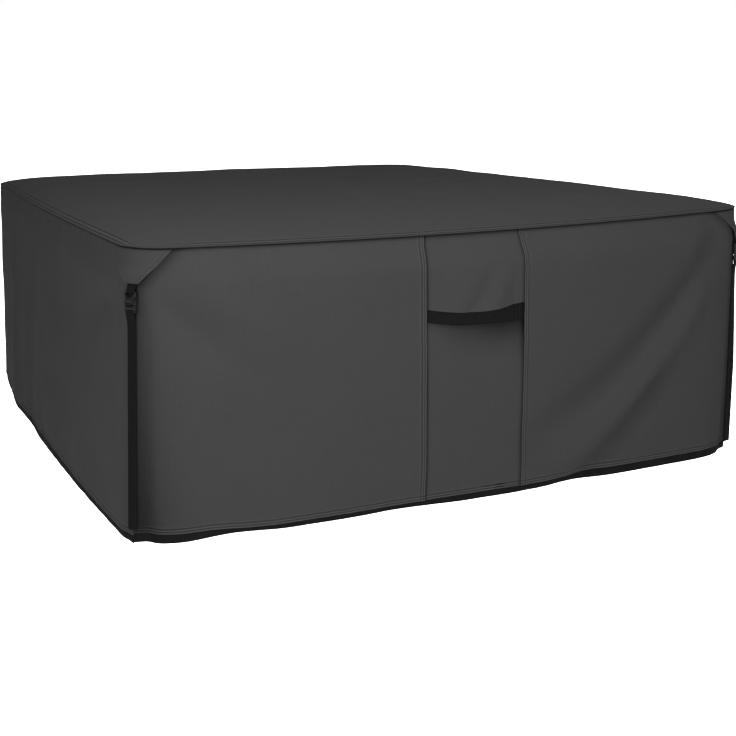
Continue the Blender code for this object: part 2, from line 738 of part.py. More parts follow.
def cut_bar(body, bar_z, slot_z, thick):
    """Cuts the webbing's slot beside a bar and thins the bar from both faces."""
    cut(body, "web_slot", (WEB_SLOT, thick + 2 * OVERCUT, SLOT_HEIGHT), (0, 0, slot_z))
    depth = (thick - BAR_THICK) / 2 + OVERCUT
    for side in (-1, 1):
        centre = (0, side * (BAR_THICK + depth) / 2, bar_z)
        cut(body, "bar_face", (WEB_SLOT, depth, BAR_THICK + 2 * OVERCUT), centre)


def socket_mesh():
    """The upper half: a shell that takes the plug's arms, with a window each side and a bar on top."""
    body = block("socket", (BUCKLE_WIDTH, SOCKET_THICK, SOCKET_HEIGHT), (0, 0, SOCKET_HEIGHT / 2))
    rounded(body, BUCKLE_CORNER)
    wide, thick, deep = CAVITY
    low, high = WINDOW
    cut(body, "hollow", (wide, thick, deep + OVERCUT), (0, 0, (deep - OVERCUT) / 2))
    window = (BUCKLE_WIDTH + 2 * OVERCUT, thick - 2 * WINDOW_LIP, high - low)
    cut(body, "windows", window, (0, 0, (low + high) / 2))
    cut_bar(body, SOCKET_BAR, SOCKET_BAR - (BAR_THICK + SLOT_HEIGHT) / 2, SOCKET_THICK)
    return baked(body)


def plug_mesh():
    """The lower half: a base with a bar, two sprung arms with barbs, and a guide between them."""
    body = block("plug", (BUCKLE_WIDTH, PLUG_THICK, PLUG_HEIGHT - SLIP), (0, 0, -(PLUG_HEIGHT + SLIP) / 2))
    rounded(body, BUCKLE_CORNER)
    thick = CAVITY[1] - 2 * SLIP
    inner, outer = ARM_X
    root = outer - BARB_ROOT
    low, high = WINDOW[0] + SLIP, WINDOW[1] - SLIP
    for side in (-1, 1):
        arm_centre = (side * (inner + outer) / 2, 0, (ARM_TIP - ARM_ROOT) / 2)
        join(body, "arm", (outer - inner, thick, ARM_TIP + ARM_ROOT), arm_centre)
        barb_centre = (side * (root + BARB_X) / 2, 0, (low + high) / 2)
        join(body, "barb", (BARB_X - root, thick - 2 * BARB_LIP, high - low), barb_centre)
    join(body, "guide", (GUIDE_WIDTH, thick - 2 * GUIDE_LIP, ARM_TIP), (0, 0, ARM_TIP / 2 - ARM_ROOT))
    cut_bar(body, PLUG_BAR, PLUG_BAR + (BAR_THICK + SLOT_HEIGHT) / 2, PLUG_THICK)
    return baked(body)


def make_buckles():
    socket, plug = socket_mesh(), plug_mesh()
    for corner_no, corner in enumerate(CORNERS):
        origin, across, out, up = buckle_axes(corner_no)
        frame = Matrix((-across, out, up)).transposed().to_4x4()
        for kind, mesh in (("socket", socket), ("plug", plug)):
            obj = bpy.data.objects.new(f"buckle_{kind}_{corner.name}", mesh)
            obj.matrix_world = Matrix.Translation(origin) @ frame
            parts.objects.link(obj)
    for mesh in (socket, plug):
        mesh.materials.clear()
        mesh.materials.append(black_plastic)


def make_lid():
    """The lid, spanned between the four seams, nearly flat with a shallow crown and a turned rim."""
    columns = spaced(side_length(FRONT), LID_STEPS, LID_STEPS, LID_SPACING)
    rows = spaced(side_length(RIGHT), LID_STEPS, LID_STEPS, LID_SPACING)
    bm = bmesh.new()
    for vert, (u, row) in grid(bm, columns, rows).items():
        v = 1 - row
        ends = mix(rim(FRONT, u), rim(BACK, 1 - u), v) + mix(rim(LEFT, 1 - v), rim(RIGHT, v), u)
        corners = mix(mix(rim(FRONT, 0), rim(FRONT, 1), u), mix(rim(BACK, 1), rim(BACK, 0), u), v)
        x, y = ends - corners
        inset_x, inset_y = min(u, 1 - u) * side_length(FRONT), min(v, 1 - v) * side_length(RIGHT)
        droop = RIM_DROOP * max(0, 1 - min(inset_x, inset_y) / RIM_BEND)
        swell = crowned(inset_x / side_length(FRONT)) * crowned(inset_y / side_length(RIGHT))
        vert.co = x, y, seam_height(x, y) + CROWN * swell - droop
    bmesh.ops.recalc_face_normals(bm, faces=bm.faces)
    mesh = bpy.data.meshes.new("top_panel")
    bm.to_mesh(mesh)
    bm.free()
    thickness = add_object("top_panel", mesh, cloth).modifiers.new("Cloth", "SOLIDIFY")
    thickness.thickness = CLOTH
    thickness.offset = 1
    thickness.use_even_offset = True


def crowned(inset):
    """The crown's rise at an inset from the rim, a share of the lid: none on the seam allowance."""
    return 1 - max(0, 1 - 2 * max(0, inset - RIM_BEND / WIDTH)) ** CROWN_POWER


def side_length(side_no):
    """Between the middles of a side's two corners, along the seam."""
    after = (side_no + 1) % 4
    to_start = quarter_length(SIDES[side_no - 1], CORNERS[side_no], 0)
    return to_start + quarter_length(SIDES[after], CORNERS[after], 0)


def rim(side_no, share):
    """The lid's edge at a share of a side."""
    to_start = quarter_length(SIDES[side_no - 1], CORNERS[side_no], 0)
    run = share * side_length(side_no) - to_start
    return np.array(plan(side_no, run, 0.0)) + np.array(outward(side_no, run, 0.0)) * RIM_OVERHANG


for old in list(bpy.data.objects):
    bpy.data.objects.remove(old, do_unlink=True)
parts = bpy.data.collections.new("fitted_cover")
cutters = bpy.data.collections.new("cutters")
cutters.hide_render = True
for collection in (parts, cutters):
    bpy.context.scene.collection.children.link(collection)

cloth = material("charcoal coated polyester", (0.052, 0.052, 0.052), 0.72)
black_webbing = material("black ribbed webbing", (0.010, 0.010, 0.010), 0.80)
black_facing = material("black hem facing", (0.009, 0.009, 0.009), 0.75)
black_plastic = material("black moulded acetal", (0.010, 0.010, 0.010), 0.45)

make_lid()
lines_of = {
    side_no: [between(start_seam(side_no), end_seam(side_no), share) for share in columns]
    for side_no, columns in make_walls().items()
}
lines_of[FRONT] = make_front()
make_flap_and_handle()
make_hem_facings(lines_of)
for corner_no in range(4):
    make_gusset(corner_no)
    make_webbing(corner_no)
make_buckles()
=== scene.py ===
"""A fitted patio cover in charcoal coated polyester: a crowned lid, four hanging walls with a vent flap
and grab handle in front, a black facing in the hem, and a strap with a buckle at each corner.

Metres, +Z up, the front faces -Y. All cloth lies on the frame's own form: the point at a run along a
side, measured from that side's middle, and at a drop below the top seam.
"""

from collections import namedtuple

import bmesh
import bpy
import numpy as np
from mathutils import Matrix, Vector


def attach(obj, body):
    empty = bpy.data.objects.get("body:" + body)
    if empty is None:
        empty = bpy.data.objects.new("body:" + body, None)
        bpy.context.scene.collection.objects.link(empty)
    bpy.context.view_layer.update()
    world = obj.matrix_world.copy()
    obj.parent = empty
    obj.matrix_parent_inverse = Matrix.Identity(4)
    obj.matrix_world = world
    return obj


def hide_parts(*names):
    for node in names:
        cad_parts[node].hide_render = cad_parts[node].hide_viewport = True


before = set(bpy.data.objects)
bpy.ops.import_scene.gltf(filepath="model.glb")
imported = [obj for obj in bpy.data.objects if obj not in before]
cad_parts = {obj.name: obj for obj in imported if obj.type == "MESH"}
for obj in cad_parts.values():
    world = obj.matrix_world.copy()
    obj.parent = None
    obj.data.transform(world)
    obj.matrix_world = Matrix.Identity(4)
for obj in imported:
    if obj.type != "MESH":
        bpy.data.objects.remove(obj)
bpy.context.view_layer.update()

# Side walls. The right, back and left walls are each one piece of charcoal polyester, sewn to the next
# at the corners and to the lid's turned rim. They hang free and are turned up and stitched at the hem.
WIDTH, DEPTH, WALL_DROP, CROWN = 1.80, 2.30, 0.71, 0.028
CLOTH, GAP = 0.0015, 0.0005
LAYER = CLOTH + GAP
SHOULDER_DROP, WALL_TUCK, FRONT_SEAM_SAG = 0.085, 0.003, 0.011
# How fast a side's bow and the front seam's sag fade away from that side
FADE_POWER = 4

Side = namedtuple("Side", "name heading reach flare bow_at_seam bow_at_hem shoulder")
SIDES = (
    Side("front", (1, 0), DEPTH / 2, 0.037, 0.034, 0.031, 0.029),
    Side("right", (0, 1), WIDTH / 2, 0.037, 0.030, 0.030, 0.008),
    Side("back", (-1, 0), DEPTH / 2, 0.028, 0.033, 0.033, 0.012),
    Side("left", (0, -1), WIDTH / 2, 0.034, 0.023, 0.044, 0.003),
)
FRONT, RIGHT, BACK, LEFT = range(4)

Corner = namedtuple("Corner", "name seam_radius hem_radius rise shift_at_seam shift_at_hem")
CORNERS = (
    Corner("fl", 0.098, 0.133, -0.001, 0.015, 0.037),
    Corner("fr", 0.120, 0.236, 0.002, 0.006, 0.014),
    Corner("br", 0.124, 0.150, -0.003, 0.0, 0.0),
    Corner("bl", 0.098, 0.180, 0.009, 0.0, 0.0),
)

# How far below the lid's plane the cloth and its facing hang, at runs along each side
Hem = namedtuple("Hem", "run cloth facing")
HEMS = {
    "front": (
        Hem(-0.94, 0.696, 0.720), Hem(-0.87, 0.692, 0.716), Hem(-0.80, 0.690, 0.713),
        Hem(-0.73, 0.691, 0.710), Hem(-0.66, 0.697, 0.707), Hem(-0.55, 0.700, 0.714),
        Hem(-0.38, 0.697, 0.711), Hem(-0.25, 0.696, 0.708), Hem(-0.08, 0.696, 0.715),
        Hem(0.09, 0.698, 0.716), Hem(0.20, 0.697, 0.712), Hem(0.30, 0.691, 0.711),
        Hem(0.42, 0.688, 0.712), Hem(0.66, 0.688, 0.712), Hem(0.86, 0.690, 0.713),
        Hem(0.95, 0.691, 0.716),
    ),
    "right": (
        Hem(-1.15, 0.690, 0.712), Hem(-0.45, 0.696, 0.713), Hem(0.40, 0.691, 0.711),
        Hem(1.15, 0.692, 0.714),
    ),
    "back": (
        Hem(-0.90, 0.692, 0.714), Hem(-0.20, 0.702, 0.718), Hem(0.35, 0.711, 0.732),
        Hem(0.90, 0.733, 0.755),
    ),
    "left": (
        Hem(-1.15, 0.733, 0.755), Hem(-0.52, 0.738, 0.759), Hem(-0.33, 0.727, 0.747),
        Hem(0.22, 0.704, 0.731), Hem(0.52, 0.704, 0.726), Hem(0.86, 0.704, 0.722),
        Hem(1.03, 0.702, 0.721), Hem(1.13, 0.697, 0.721),
    ),
}
HEM_EASE = 0.03

# The folds that the cloth hangs in: troughs below zero and ridges above it, each between two points of
# its side and bowed sideways by bend
Fold = namedtuple("Fold", "side run drop to_run to_drop bend width to_width height to_height")
FOLDS = (
    Fold("front", 0.77, 0.07, 0.16, 0.57, 0.049, 0.048, 0.062, -0.023, -0.020),
    Fold("front", 0.71, 0.21, 0.25, 0.66, 0.020, 0.032, 0.042, 0.022, 0.023),
    Fold("front", 0.60, 0.42, 0.24, 0.71, 0.020, 0.036, 0.046, -0.021, -0.022),
    Fold("front", -0.84, 0.12, -0.58, 0.34, 0.010, 0.030, 0.045, -0.011, -0.006),
    Fold("front", -0.76, 0.10, -0.45, 0.30, -0.010, 0.040, 0.055, 0.009, 0.004),
    Fold("front", -0.66, 0.36, -0.70, 0.72, 0.0, 0.050, 0.070, -0.004, -0.008),
    Fold("front", -0.34, 0.22, -0.38, 0.74, 0.0, 0.060, 0.080, 0.003, 0.006),
    Fold("left", 0.99, 0.09, 0.40, 0.04, 0.020, 0.035, 0.050, 0.006, 0.003),
    Fold("left", 1.00, 0.13, 0.28, 0.27, 0.030, 0.040, 0.060, -0.008, -0.004),
    Fold("left", 0.95, 0.25, 0.55, 0.66, 0.020, 0.060, 0.080, 0.006, 0.006),
    Fold("left", -0.05, 0.10, -0.20, 0.76, 0.0, 0.090, 0.120, -0.006, -0.010),
    Fold("left", -0.62, 0.12, -0.55, 0.78, 0.0, 0.080, 0.110, 0.005, 0.008),
    Fold("right", -0.85, 0.09, -0.35, 0.40, 0.030, 0.045, 0.070, -0.008, -0.004),
    Fold("right", 0.30, 0.10, 0.15, 0.74, 0.0, 0.090, 0.120, 0.005, 0.009),
    Fold("right", 0.86, 0.12, 0.55, 0.50, 0.020, 0.050, 0.080, -0.007, -0.004),
    Fold("back", -0.62, 0.09, -0.25, 0.48, 0.020, 0.045, 0.070, -0.007, -0.004),
    Fold("back", 0.15, 0.10, 0.10, 0.74, 0.0, 0.090, 0.110, 0.005, 0.008),
    Fold("back", 0.62, 0.10, 0.35, 0.55, 0.020, 0.045, 0.070, -0.007, -0.004),
)
FOLD_FADE = 0.22
CORNER_FADE = (0.0, 0.07)
CORNER_SHOULDER = 0.003
SHOULDER_FADE = (0.06, 0.22)

Crease = namedtuple("Crease", "offset width to_width height to_height")
CREASES = {
    "fl": (Crease(0.0, 0.012, 0.014, 0.003, 0.009), Crease(0.030, 0.012, 0.022, -0.006, -0.010)),
    "fr": (Crease(0.0, 0.012, 0.014, 0.001, 0.002), Crease(-0.034, 0.014, 0.022, -0.003, -0.006)),
    "br": (Crease(0.0, 0.012, 0.014, 0.001, 0.004), Crease(0.034, 0.014, 0.022, -0.004, -0.008)),
    "bl": (Crease(0.0, 0.012, 0.014, 0.001, 0.004), Crease(-0.034, 0.014, 0.022, -0.004, -0.008)),
}
CREASE_BEGINS, CREASE_FULL = 0.075, 0.16


def mix(a, b, share):
    return a + (b - a) * share


def smooth(value, low, high):
    """0 below low, 1 above high and an eased rise between them."""
    share = np.clip((value - low) / (high - low), 0, 1)
    return share * share * (3 - 2 * share)


def bell(value, width):
    return np.exp(-((value / width) ** 2))


def eased(at, ease, places, values):
    """Read between the rows of a list, with the bends at its rows eased."""
    window = np.linspace(-ease, ease, 5)
    return sum(np.interp(at + offset, places, values) for offset in window) / len(window)


def bow(side, share):
    return mix(side.bow_at_seam, side.bow_at_hem, share)


def quarter_length(side, corner, share):
    """From the middle of a side round to halfway about a corner, share of the way down."""
    radius = mix(corner.seam_radius, corner.hem_radius, share)
    return side.reach + side.flare * share - radius + radius * np.pi / 4


def plan(side_no, run, share):
    """x and y of the outline, share of the way down from the seam to the hem."""
    side, before, after = SIDES[side_no], SIDES[side_no - 1], SIDES[(side_no + 1) % 4]
    start, end = CORNERS[side_no], CORNERS[(side_no + 1) % 4]
    back = run < 0
    far = np.where(back, before.reach + before.flare * share, after.reach + after.flare * share)
    start_radius = mix(start.seam_radius, start.hem_radius, share)
    end_radius = mix(end.seam_radius, end.hem_radius, share)
    radius = np.where(back, start_radius, end_radius)
    at_seam = np.where(back, quarter_length(before, start, 0), quarter_length(after, end, 0))
    here = far - radius + radius * np.pi / 4
    length = np.abs(run) * here / at_seam
    turn = np.clip((length - (far - radius)) / radius, 0, np.pi / 2)
    along = np.sign(run) * (np.minimum(length, far - radius) + radius * np.sin(turn))
    out = side.reach + side.flare * share - radius + radius * np.cos(turn)
    hx, hy = side.heading
    x, y = along * hx + out * hy, along * hy - out * hx
    half_x = WIDTH / 2 + SIDES[RIGHT].flare * share
    half_y = DEPTH / 2 + np.where(y < 0, SIDES[FRONT].flare, SIDES[BACK].flare) * share
    bow_x = np.where(x > 0, bow(SIDES[RIGHT], share), bow(SIDES[LEFT], share))
    bow_y = np.where(y > 0, bow(SIDES[BACK], share), bow(SIDES[FRONT], share))
    near_x = np.clip(np.abs(x) / half_x, 0, 1)
    near_y = np.clip(np.abs(y) / half_y, 0, 1)
    return (
        x + np.sign(x) * bow_x * (1 - near_y**2) * near_x**FADE_POWER,
        y + np.sign(y) * bow_y * (1 - near_x**2) * near_y**FADE_POWER,
    )


def outward(side_no, run, share):
    """The outline's outward direction in the plan."""
    step = 0.001
    x0, y0 = plan(side_no, run - step, share)
    x1, y1 = plan(side_no, run + step, share)
    length = np.hypot(x1 - x0, y1 - y0)
    return (y1 - y0) / length, (x0 - x1) / length


def seam_height(x, y):
    """The top seam's height: it differs a little from corner to corner and sags along the front."""
    u = np.clip(x / WIDTH + 0.5, 0, 1)
    v = np.clip(y / DEPTH + 0.5, 0, 1)
    fl, fr, br, bl = (corner.rise for corner in CORNERS)
    rise = mix(mix(fl, fr, u), mix(bl, br, u), v)
    along, near = np.clip(1 - (2 * x / WIDTH) ** 2, 0, 1), np.clip(-2 * y / DEPTH, 0, 1) ** FADE_POWER
    return rise - FRONT_SEAM_SAG * along * near - CROWN


def strap_shift(corner, drop):
    return mix(corner.shift_at_seam, corner.shift_at_hem, np.clip(drop / WALL_DROP, 0, 1))


def start_run(side_no, drop):
    """Where the corner seam at a side's start lies, as a run of that side."""
    corner = CORNERS[side_no]
    return -quarter_length(SIDES[side_no - 1], corner, 0) - strap_shift(corner, drop)


def end_run(side_no, drop):
    after = (side_no + 1) % 4
    return quarter_length(SIDES[after], CORNERS[after], 0) - strap_shift(CORNERS[after], drop)


def fold_height(fold, run, drop):
    """One fold's rise or sink, soft across it and fading at both ends."""
    dx, dy = fold.to_run - fold.run, fold.to_drop - fold.drop
    length = np.hypot(dx, dy)
    share = ((run - fold.run) * dx + (drop - fold.drop) * dy) / length**2
    inside = np.clip(share, 0, 1)
    aside = ((drop - fold.drop) * dx - (run - fold.run) * dy) / length
    aside = aside - np.sign(dx or 1) * fold.bend * 4 * inside * (1 - inside)
    beyond = (share - inside) * length
    width = mix(fold.width, fold.to_width, inside)
    fade = smooth(share, -FOLD_FADE, FOLD_FADE) * (1 - smooth(share, 1 - FOLD_FADE, 1 + FOLD_FADE))
    return mix(fold.height, fold.to_height, inside) * np.exp(-(aside**2 + beyond**2) / width**2) * fade


def crease_height(corner, beside, drop):
    """The ridge under a corner's strap and the hollow beside it."""
    down = np.clip(drop / WALL_DROP, 0, 1)
    total = 0
    for crease in CREASES[corner.name]:
        width = mix(crease.width, crease.to_width, down)
        total = total + mix(crease.height, crease.to_height, down) * bell(beside - crease.offset, width)
    return total * smooth(drop, CREASE_BEGINS, CREASE_FULL)


def form(side_no, run, drop):
    """The frame's outer surface at runs along a side and drops below the seam."""
    side = SIDES[side_no]
    share = drop / WALL_DROP
    from_start, to_end = run - start_run(side_no, drop), end_run(side_no, drop) - run
    from_corner = np.minimum(from_start, to_end)
    rise = smooth(drop, 0, SHOULDER_DROP)
    shoulder = mix(CORNER_SHOULDER, side.shoulder, smooth(from_corner, *SHOULDER_FADE))
    swell = shoulder * (rise - share) - WALL_TUCK * (1 - rise)
    for fold in FOLDS:
        if fold.side == side.name:
            swell = swell + fold_height(fold, run, drop) * smooth(from_corner, *CORNER_FADE)
    swell = swell + crease_height(CORNERS[side_no], from_start, drop)
    swell = swell + crease_height(CORNERS[(side_no + 1) % 4], -to_end, drop)
    x, y = plan(side_no, run, share)
    nx, ny = outward(side_no, run, share)
    z = seam_height(*plan(side_no, run, 0 * share)) - drop
    return np.stack([x + nx * swell, y + ny * swell, z], axis=-1)


def unit(vectors):
    return vectors / np.linalg.norm(vectors, axis=-1, keepdims=True)


def hang(side_no, run, drop, rise=0.0):
    """Points that stand so far out from the form, and the outward directions there."""
    step = 0.002
    run, drop = np.broadcast_arrays(run, drop)
    above, below = np.maximum(drop - step, 0), drop + step
    down = form(side_no, run, below) - form(side_no, run, above)
    across = form(side_no, run + step, drop) - form(side_no, run - step, drop)
    normal = unit(np.cross(down, across))
    return form(side_no, run, drop) + normal * np.asarray(rise)[..., None], normal


def hem_drop(side_no, run, column):
    """How far the cloth or its facing hangs at this run."""
    rows = HEMS[SIDES[side_no].name]
    below_plane = eased(run, HEM_EASE, [row.run for row in rows], [getattr(row, column) for row in rows])
    return below_plane + seam_height(*plan(side_no, run, 0 * run)) + CROWN


WAVES, WAVE_SPREAD = 7, (0.7, 1.5)


def ripples(u, v, wave, seed):
    """A soft random unevenness of about one wavelength over places in metres, mostly from -1 to 1."""
    draw = np.random.default_rng(seed)
    total = 0
    for _ in range(WAVES):
        angle, phase = draw.uniform(0, 2 * np.pi, 2)
        length = wave * draw.uniform(*WAVE_SPREAD)
        total = total + np.sin(2 * np.pi * (u * np.cos(angle) + v * np.sin(angle)) / length + phase)
    return total / np.sqrt(WAVES)


# Two rows of lockstitch run this far in from each stitched edge. They draw the cloth down into a groove
# each and pad up the layers between them, and the cloth puckers a little beside them.
STITCH_ROWS = (0.005, 0.012)
GROOVE_DEEP, GROOVE_WIDE = 0.0007, 0.0013
PAD_RISE, PAD_WIDE = 0.0004, 1.6 * GROOVE_WIDE
PUCKER_RISE, PUCKER_WAVE, PUCKER_REACH = 0.0006, 0.045, 0.030
EDGE_STEPS = (0, 0.0015, 0.003, 0.0042, 0.005, 0.0058, 0.007, 0.0085, 0.010, 0.0112, 0.012)
EDGE_STEPS += (0.0128, 0.014, 0.0165, 0.020, 0.025, 0.032)


def stitched(along, inset, seed, rows=STITCH_ROWS):
    """The relief beside a stitched edge, at distances along it and in from it."""
    relief = PUCKER_RISE * ripples(along, 0 * along, PUCKER_WAVE, seed) * bell(inset, PUCKER_REACH)
    for row in rows:
        relief = relief - GROOVE_DEEP * bell(inset - row, GROOVE_WIDE)
    for pad in (rows[0] / 2, (rows[0] + rows[1]) / 2):
        relief = relief + PAD_RISE * bell(inset - pad, PAD_WIDE)
    return relief


# Painted shade darkens the stitched grooves, and the padded ridges beside them are painted paler, partly as
# highlight and partly from rubbing, the one inside the inner row less.
GROOVE_TONE, PAD_TONE, INNER_PAD_SHARE, PAD_TONE_WIDE = -0.75, 0.52, 0.4, 1.3


def shaded_and_rubbed(inset, rows=STITCH_ROWS, wide=GROOVE_WIDE):
    """The tone beside a stitched edge: below zero painted shade, darker than the cloth, and above it paler,
    a painted highlight with some rubbing.
    """
    outer, inner = rows
    tone = GROOVE_TONE * bell(inset - outer, wide) + GROOVE_TONE * bell(inset - inner, wide)
    between = (outer + inner) / 2
    for pad, share in ((outer / 2, 1), (between, 1), (2 * inner - between, INNER_PAD_SHARE)):
        tone = tone + PAD_TONE * bell(inset - pad, PAD_TONE_WIDE * wide) * share
    return tone


BROAD_RISE, BROAD_WAVE, FINE_RISE, FINE_WAVE, SLACK_GROWS = 0.0010, 0.30, 0.0002, 0.10, 0.05


def slack(u, v, seed, held):
    """The unevenness of cloth that hangs or lies free, at distances from where it is held."""
    uneven = BROAD_RISE * ripples(u, v, BROAD_WAVE, seed) + FINE_RISE * ripples(u, v, FINE_WAVE, seed + 1)
    return uneven * smooth(held, 0, SLACK_GROWS)


def stations(length, spacing, start=(0,), end=(0,)):
    """Shares of a length: close together at both ends where asked for, and even between."""
    first, last = start[-1], length - end[-1]
    between = np.linspace(first, last, round((last - first) / spacing) + 1)[1:-1]
    return np.concatenate([start, between, length - np.array(end)[::-1]]) / length


def sheet_mesh(name, points, places, tone=0.0):
    """A grid through rows of points from the top down, with its places in the cloth as a UV map and its
    tone, mostly painted shade and highlight, as an attribute."""
    rows, columns = points.shape[:2]
    bm = bmesh.new()
    bmesh.ops.create_grid(bm, x_segments=columns - 1, y_segments=rows - 1, size=1)
    mesh = bpy.data.meshes.new(name)
    bm.to_mesh(mesh)
    bm.free()
    spots = np.empty(len(mesh.vertices) * 3)
    mesh.vertices.foreach_get("co", spots)
    spots = spots.reshape(-1, 3)
    column = np.rint((spots[:, 0] + 1) / 2 * (columns - 1)).astype(int)
    row = np.rint((1 - spots[:, 1]) / 2 * (rows - 1)).astype(int)
    mesh.vertices.foreach_set("co", points[row, column].ravel())
    of_corner = np.empty(len(mesh.loops), int)
    mesh.loops.foreach_get("vertex_index", of_corner)
    uv = mesh.uv_layers.new(name="cloth")
    uv.data.foreach_set("uv", places[row, column][of_corner].ravel())
    painted_tone = mesh.attributes.new("wear", "FLOAT", "POINT")
    painted_tone.data.foreach_set("value", np.broadcast_to(tone, points.shape[:2])[row, column].astype(np.float32))
    mesh.update()
    return mesh


SHARP_ANGLE = np.radians(50)


def finished(name, mesh, finish, thick=CLOTH):
    """The sheet as an object of that thickness, which lies behind its outer face."""
    piece = bpy.data.objects.new(name, mesh)
    bpy.context.scene.collection.objects.link(piece)
    solid = piece.modifiers.new("Cloth", "SOLIDIFY")
    solid.thickness = thick
    solid.offset = -1
    bpy.context.view_layer.update()
    piece.data = bpy.data.meshes.new_from_object(piece.evaluated_get(bpy.context.evaluated_depsgraph_get()))
    piece.modifiers.clear()
    piece.data.materials.append(finish)
    piece.data.shade_smooth()
    piece.data.set_sharp_from_angle(angle=SHARP_ANGLE)
    return piece


def set_in_place(piece, node):
    """The piece takes the place of one of the frame's solids."""
    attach(piece, "root")
    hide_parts(node)


def colour(code):
    """A linear colour with alpha from an sRGB hex value."""
    values = [int(code[i : i + 2], 16) / 255 for i in (1, 3, 5)]
    return *(v / 12.92 if v <= 0.04045 else ((v + 0.055) / 1.055) ** 2.4 for v in values), 1.0


def add_node(tree, kind, settings=None, values=None, links=None):
    """Adds a node with its settings, its sockets' values and what is linked to its sockets."""
    node = tree.nodes.new(kind)
    for name, value in (settings or {}).items():
        setattr(node, name, value)
    for name, value in (values or {}).items():
        node.inputs[name].default_value = value
    for name, output in (links or {}).items():
        tree.links.new(output, node.inputs[name])
    return node


def new_material(name):
    """A material with its node tree and its Principled shader."""
    made = bpy.data.materials.new(name)
    made.use_nodes = True
    tree = made.node_tree
    return made, tree, tree.nodes["Principled BSDF"]


# Oxford-woven 600 denier polyester with a coating on its back: matt charcoal with hardly any sheen. Its
# threads are 1.1 mm apart, which is too fine to show from here, so its slubs, the thicker stretches of
# thread, are drawn 5 mm wide to show as a faint grain in both directions.
THREAD_SPACING = 0.0011
SLUB_LENGTH, SLUB_WIDTH = 0.070, 0.005
MOTTLE_SIZE, CRUMPLE_SIZE = 0.20, 0.030

IN_COLOUR = {"data_type": "RGBA"}

charcoal_polyester, tree, shader = new_material("coated_oxford_polyester")
place = add_node(tree, "ShaderNodeUVMap", {"uv_map": "cloth"}).outputs["UV"]
threads = []
grain = []
rows = {"Scale": np.pi / 10 / THREAD_SPACING, "Distortion": 0.6, "Detail": 1.0, "Detail Scale": 0.4}
for direction, stretch in (("X", (SLUB_WIDTH, SLUB_LENGTH, 1)), ("Y", (SLUB_LENGTH, SLUB_WIDTH, 1))):
    banded = {"wave_type": "BANDS", "bands_direction": direction}
    threads.append(add_node(tree, "ShaderNodeTexWave", banded, rows, {"Vector": place}).outputs["Fac"])
    along = {"Scale": [1 / size for size in stretch]}
    drawn = add_node(tree, "ShaderNodeMapping", {}, along, {"Vector": place}).outputs["Vector"]
    slub = add_node(tree, "ShaderNodeTexNoise", {}, {"Scale": 1.0, "Detail": 1.0}, {"Vector": drawn})
    grain.append(slub.outputs["Fac"])
weave = add_node(tree, "ShaderNodeMath", {"operation": "MAXIMUM"}, {}, dict(enumerate(threads))).outputs[0]
slubs = add_node(tree, "ShaderNodeMath", {"operation": "ADD"}, {}, dict(enumerate(grain))).outputs[0]
mottle, crumple = (
    add_node(tree, "ShaderNodeTexNoise", {}, {"Scale": 1 / size, "Detail": 3.0}, {"Vector": place})
    for size in (MOTTLE_SIZE, CRUMPLE_SIZE)
)
mottle, crumple = mottle.outputs["Fac"], crumple.outputs["Fac"]
uneven = add_node(tree, "ShaderNodeMath", {"operation": "ADD"}, {}, {0: slubs, 1: mottle}).outputs[0]
spread = {"From Min": 1.1, "From Max": 1.9}
uneven = add_node(tree, "ShaderNodeMapRange", {}, spread, {"Value": uneven}).outputs["Result"]
colour_pair = {"A": colour("#424243"), "B": colour("#454546")}
base = add_node(tree, "ShaderNodeMix", IN_COLOUR, colour_pair, {"Factor": uneven}).outputs["Result"]
# The tone attribute paints shade and highlight into the cloth's colour: towards #1c1c1d below zero and
# towards #5a5a5b above it. A little of the paler side stands for rubbing on the stitched ridges.
wear = add_node(tree, "ShaderNodeAttribute", {"attribute_name": "wear"}).outputs["Fac"]
for low, high, shade in ((0, 1, "#5a5a5b"), (0, -1, "#1c1c1d")):
    reach = {"From Min": low, "From Max": high}
    share = add_node(tree, "ShaderNodeMapRange", {}, reach, {"Value": wear}).outputs["Result"]
    toned = {"Factor": share, "A": base}
    base = add_node(tree, "ShaderNodeMix", IN_COLOUR, {"B": colour(shade)}, toned).outputs["Result"]
tree.links.new(base, shader.inputs["Base Color"])
matt = {"From Min": 0.3, "From Max": 0.7, "To Min": 0.70, "To Max": 0.80}
rough = add_node(tree, "ShaderNodeMapRange", {}, matt, {"Value": mottle}).outputs["Result"]
tree.links.new(rough, shader.inputs["Roughness"])
shader.inputs["Specular IOR Level"].default_value = 0.10
felt = {"Strength": 0.3, "Distance": 0.0002}
felt = add_node(tree, "ShaderNodeBump", {}, felt, {"Height": weave}).outputs["Normal"]
soft = {"Strength": 0.3, "Distance": 0.0005}
soft = add_node(tree, "ShaderNodeBump", {}, soft, {"Height": crumple, "Normal": felt}).outputs["Normal"]
tree.links.new(soft, shader.inputs["Normal"])

# Bonded polyester thread, a shade darker than the cloth, with a soft gloss from its twist
thread, tree, shader = new_material("bonded_polyester_thread")
place = add_node(tree, "ShaderNodeTexCoord").outputs["Object"]
TWIST_SIZE = 0.0006
twist = {"Scale": 1 / TWIST_SIZE, "Detail": 1.0}
twist = add_node(tree, "ShaderNodeTexNoise", {}, twist, {"Vector": place}).outputs["Fac"]
colour_pair = {"A": colour("#232324"), "B": colour("#3a3a3b")}
shade = add_node(tree, "ShaderNodeMix", IN_COLOUR, colour_pair, {"Factor": twist}).outputs["Result"]
tree.links.new(shade, shader.inputs["Base Color"])
shader.inputs["Roughness"].default_value = 0.5
STITCH_PITCH, STITCH_LONG, STITCH_WIDE, STITCH_HIGH = 0.0042, 0.0033, 0.0009, 0.0007


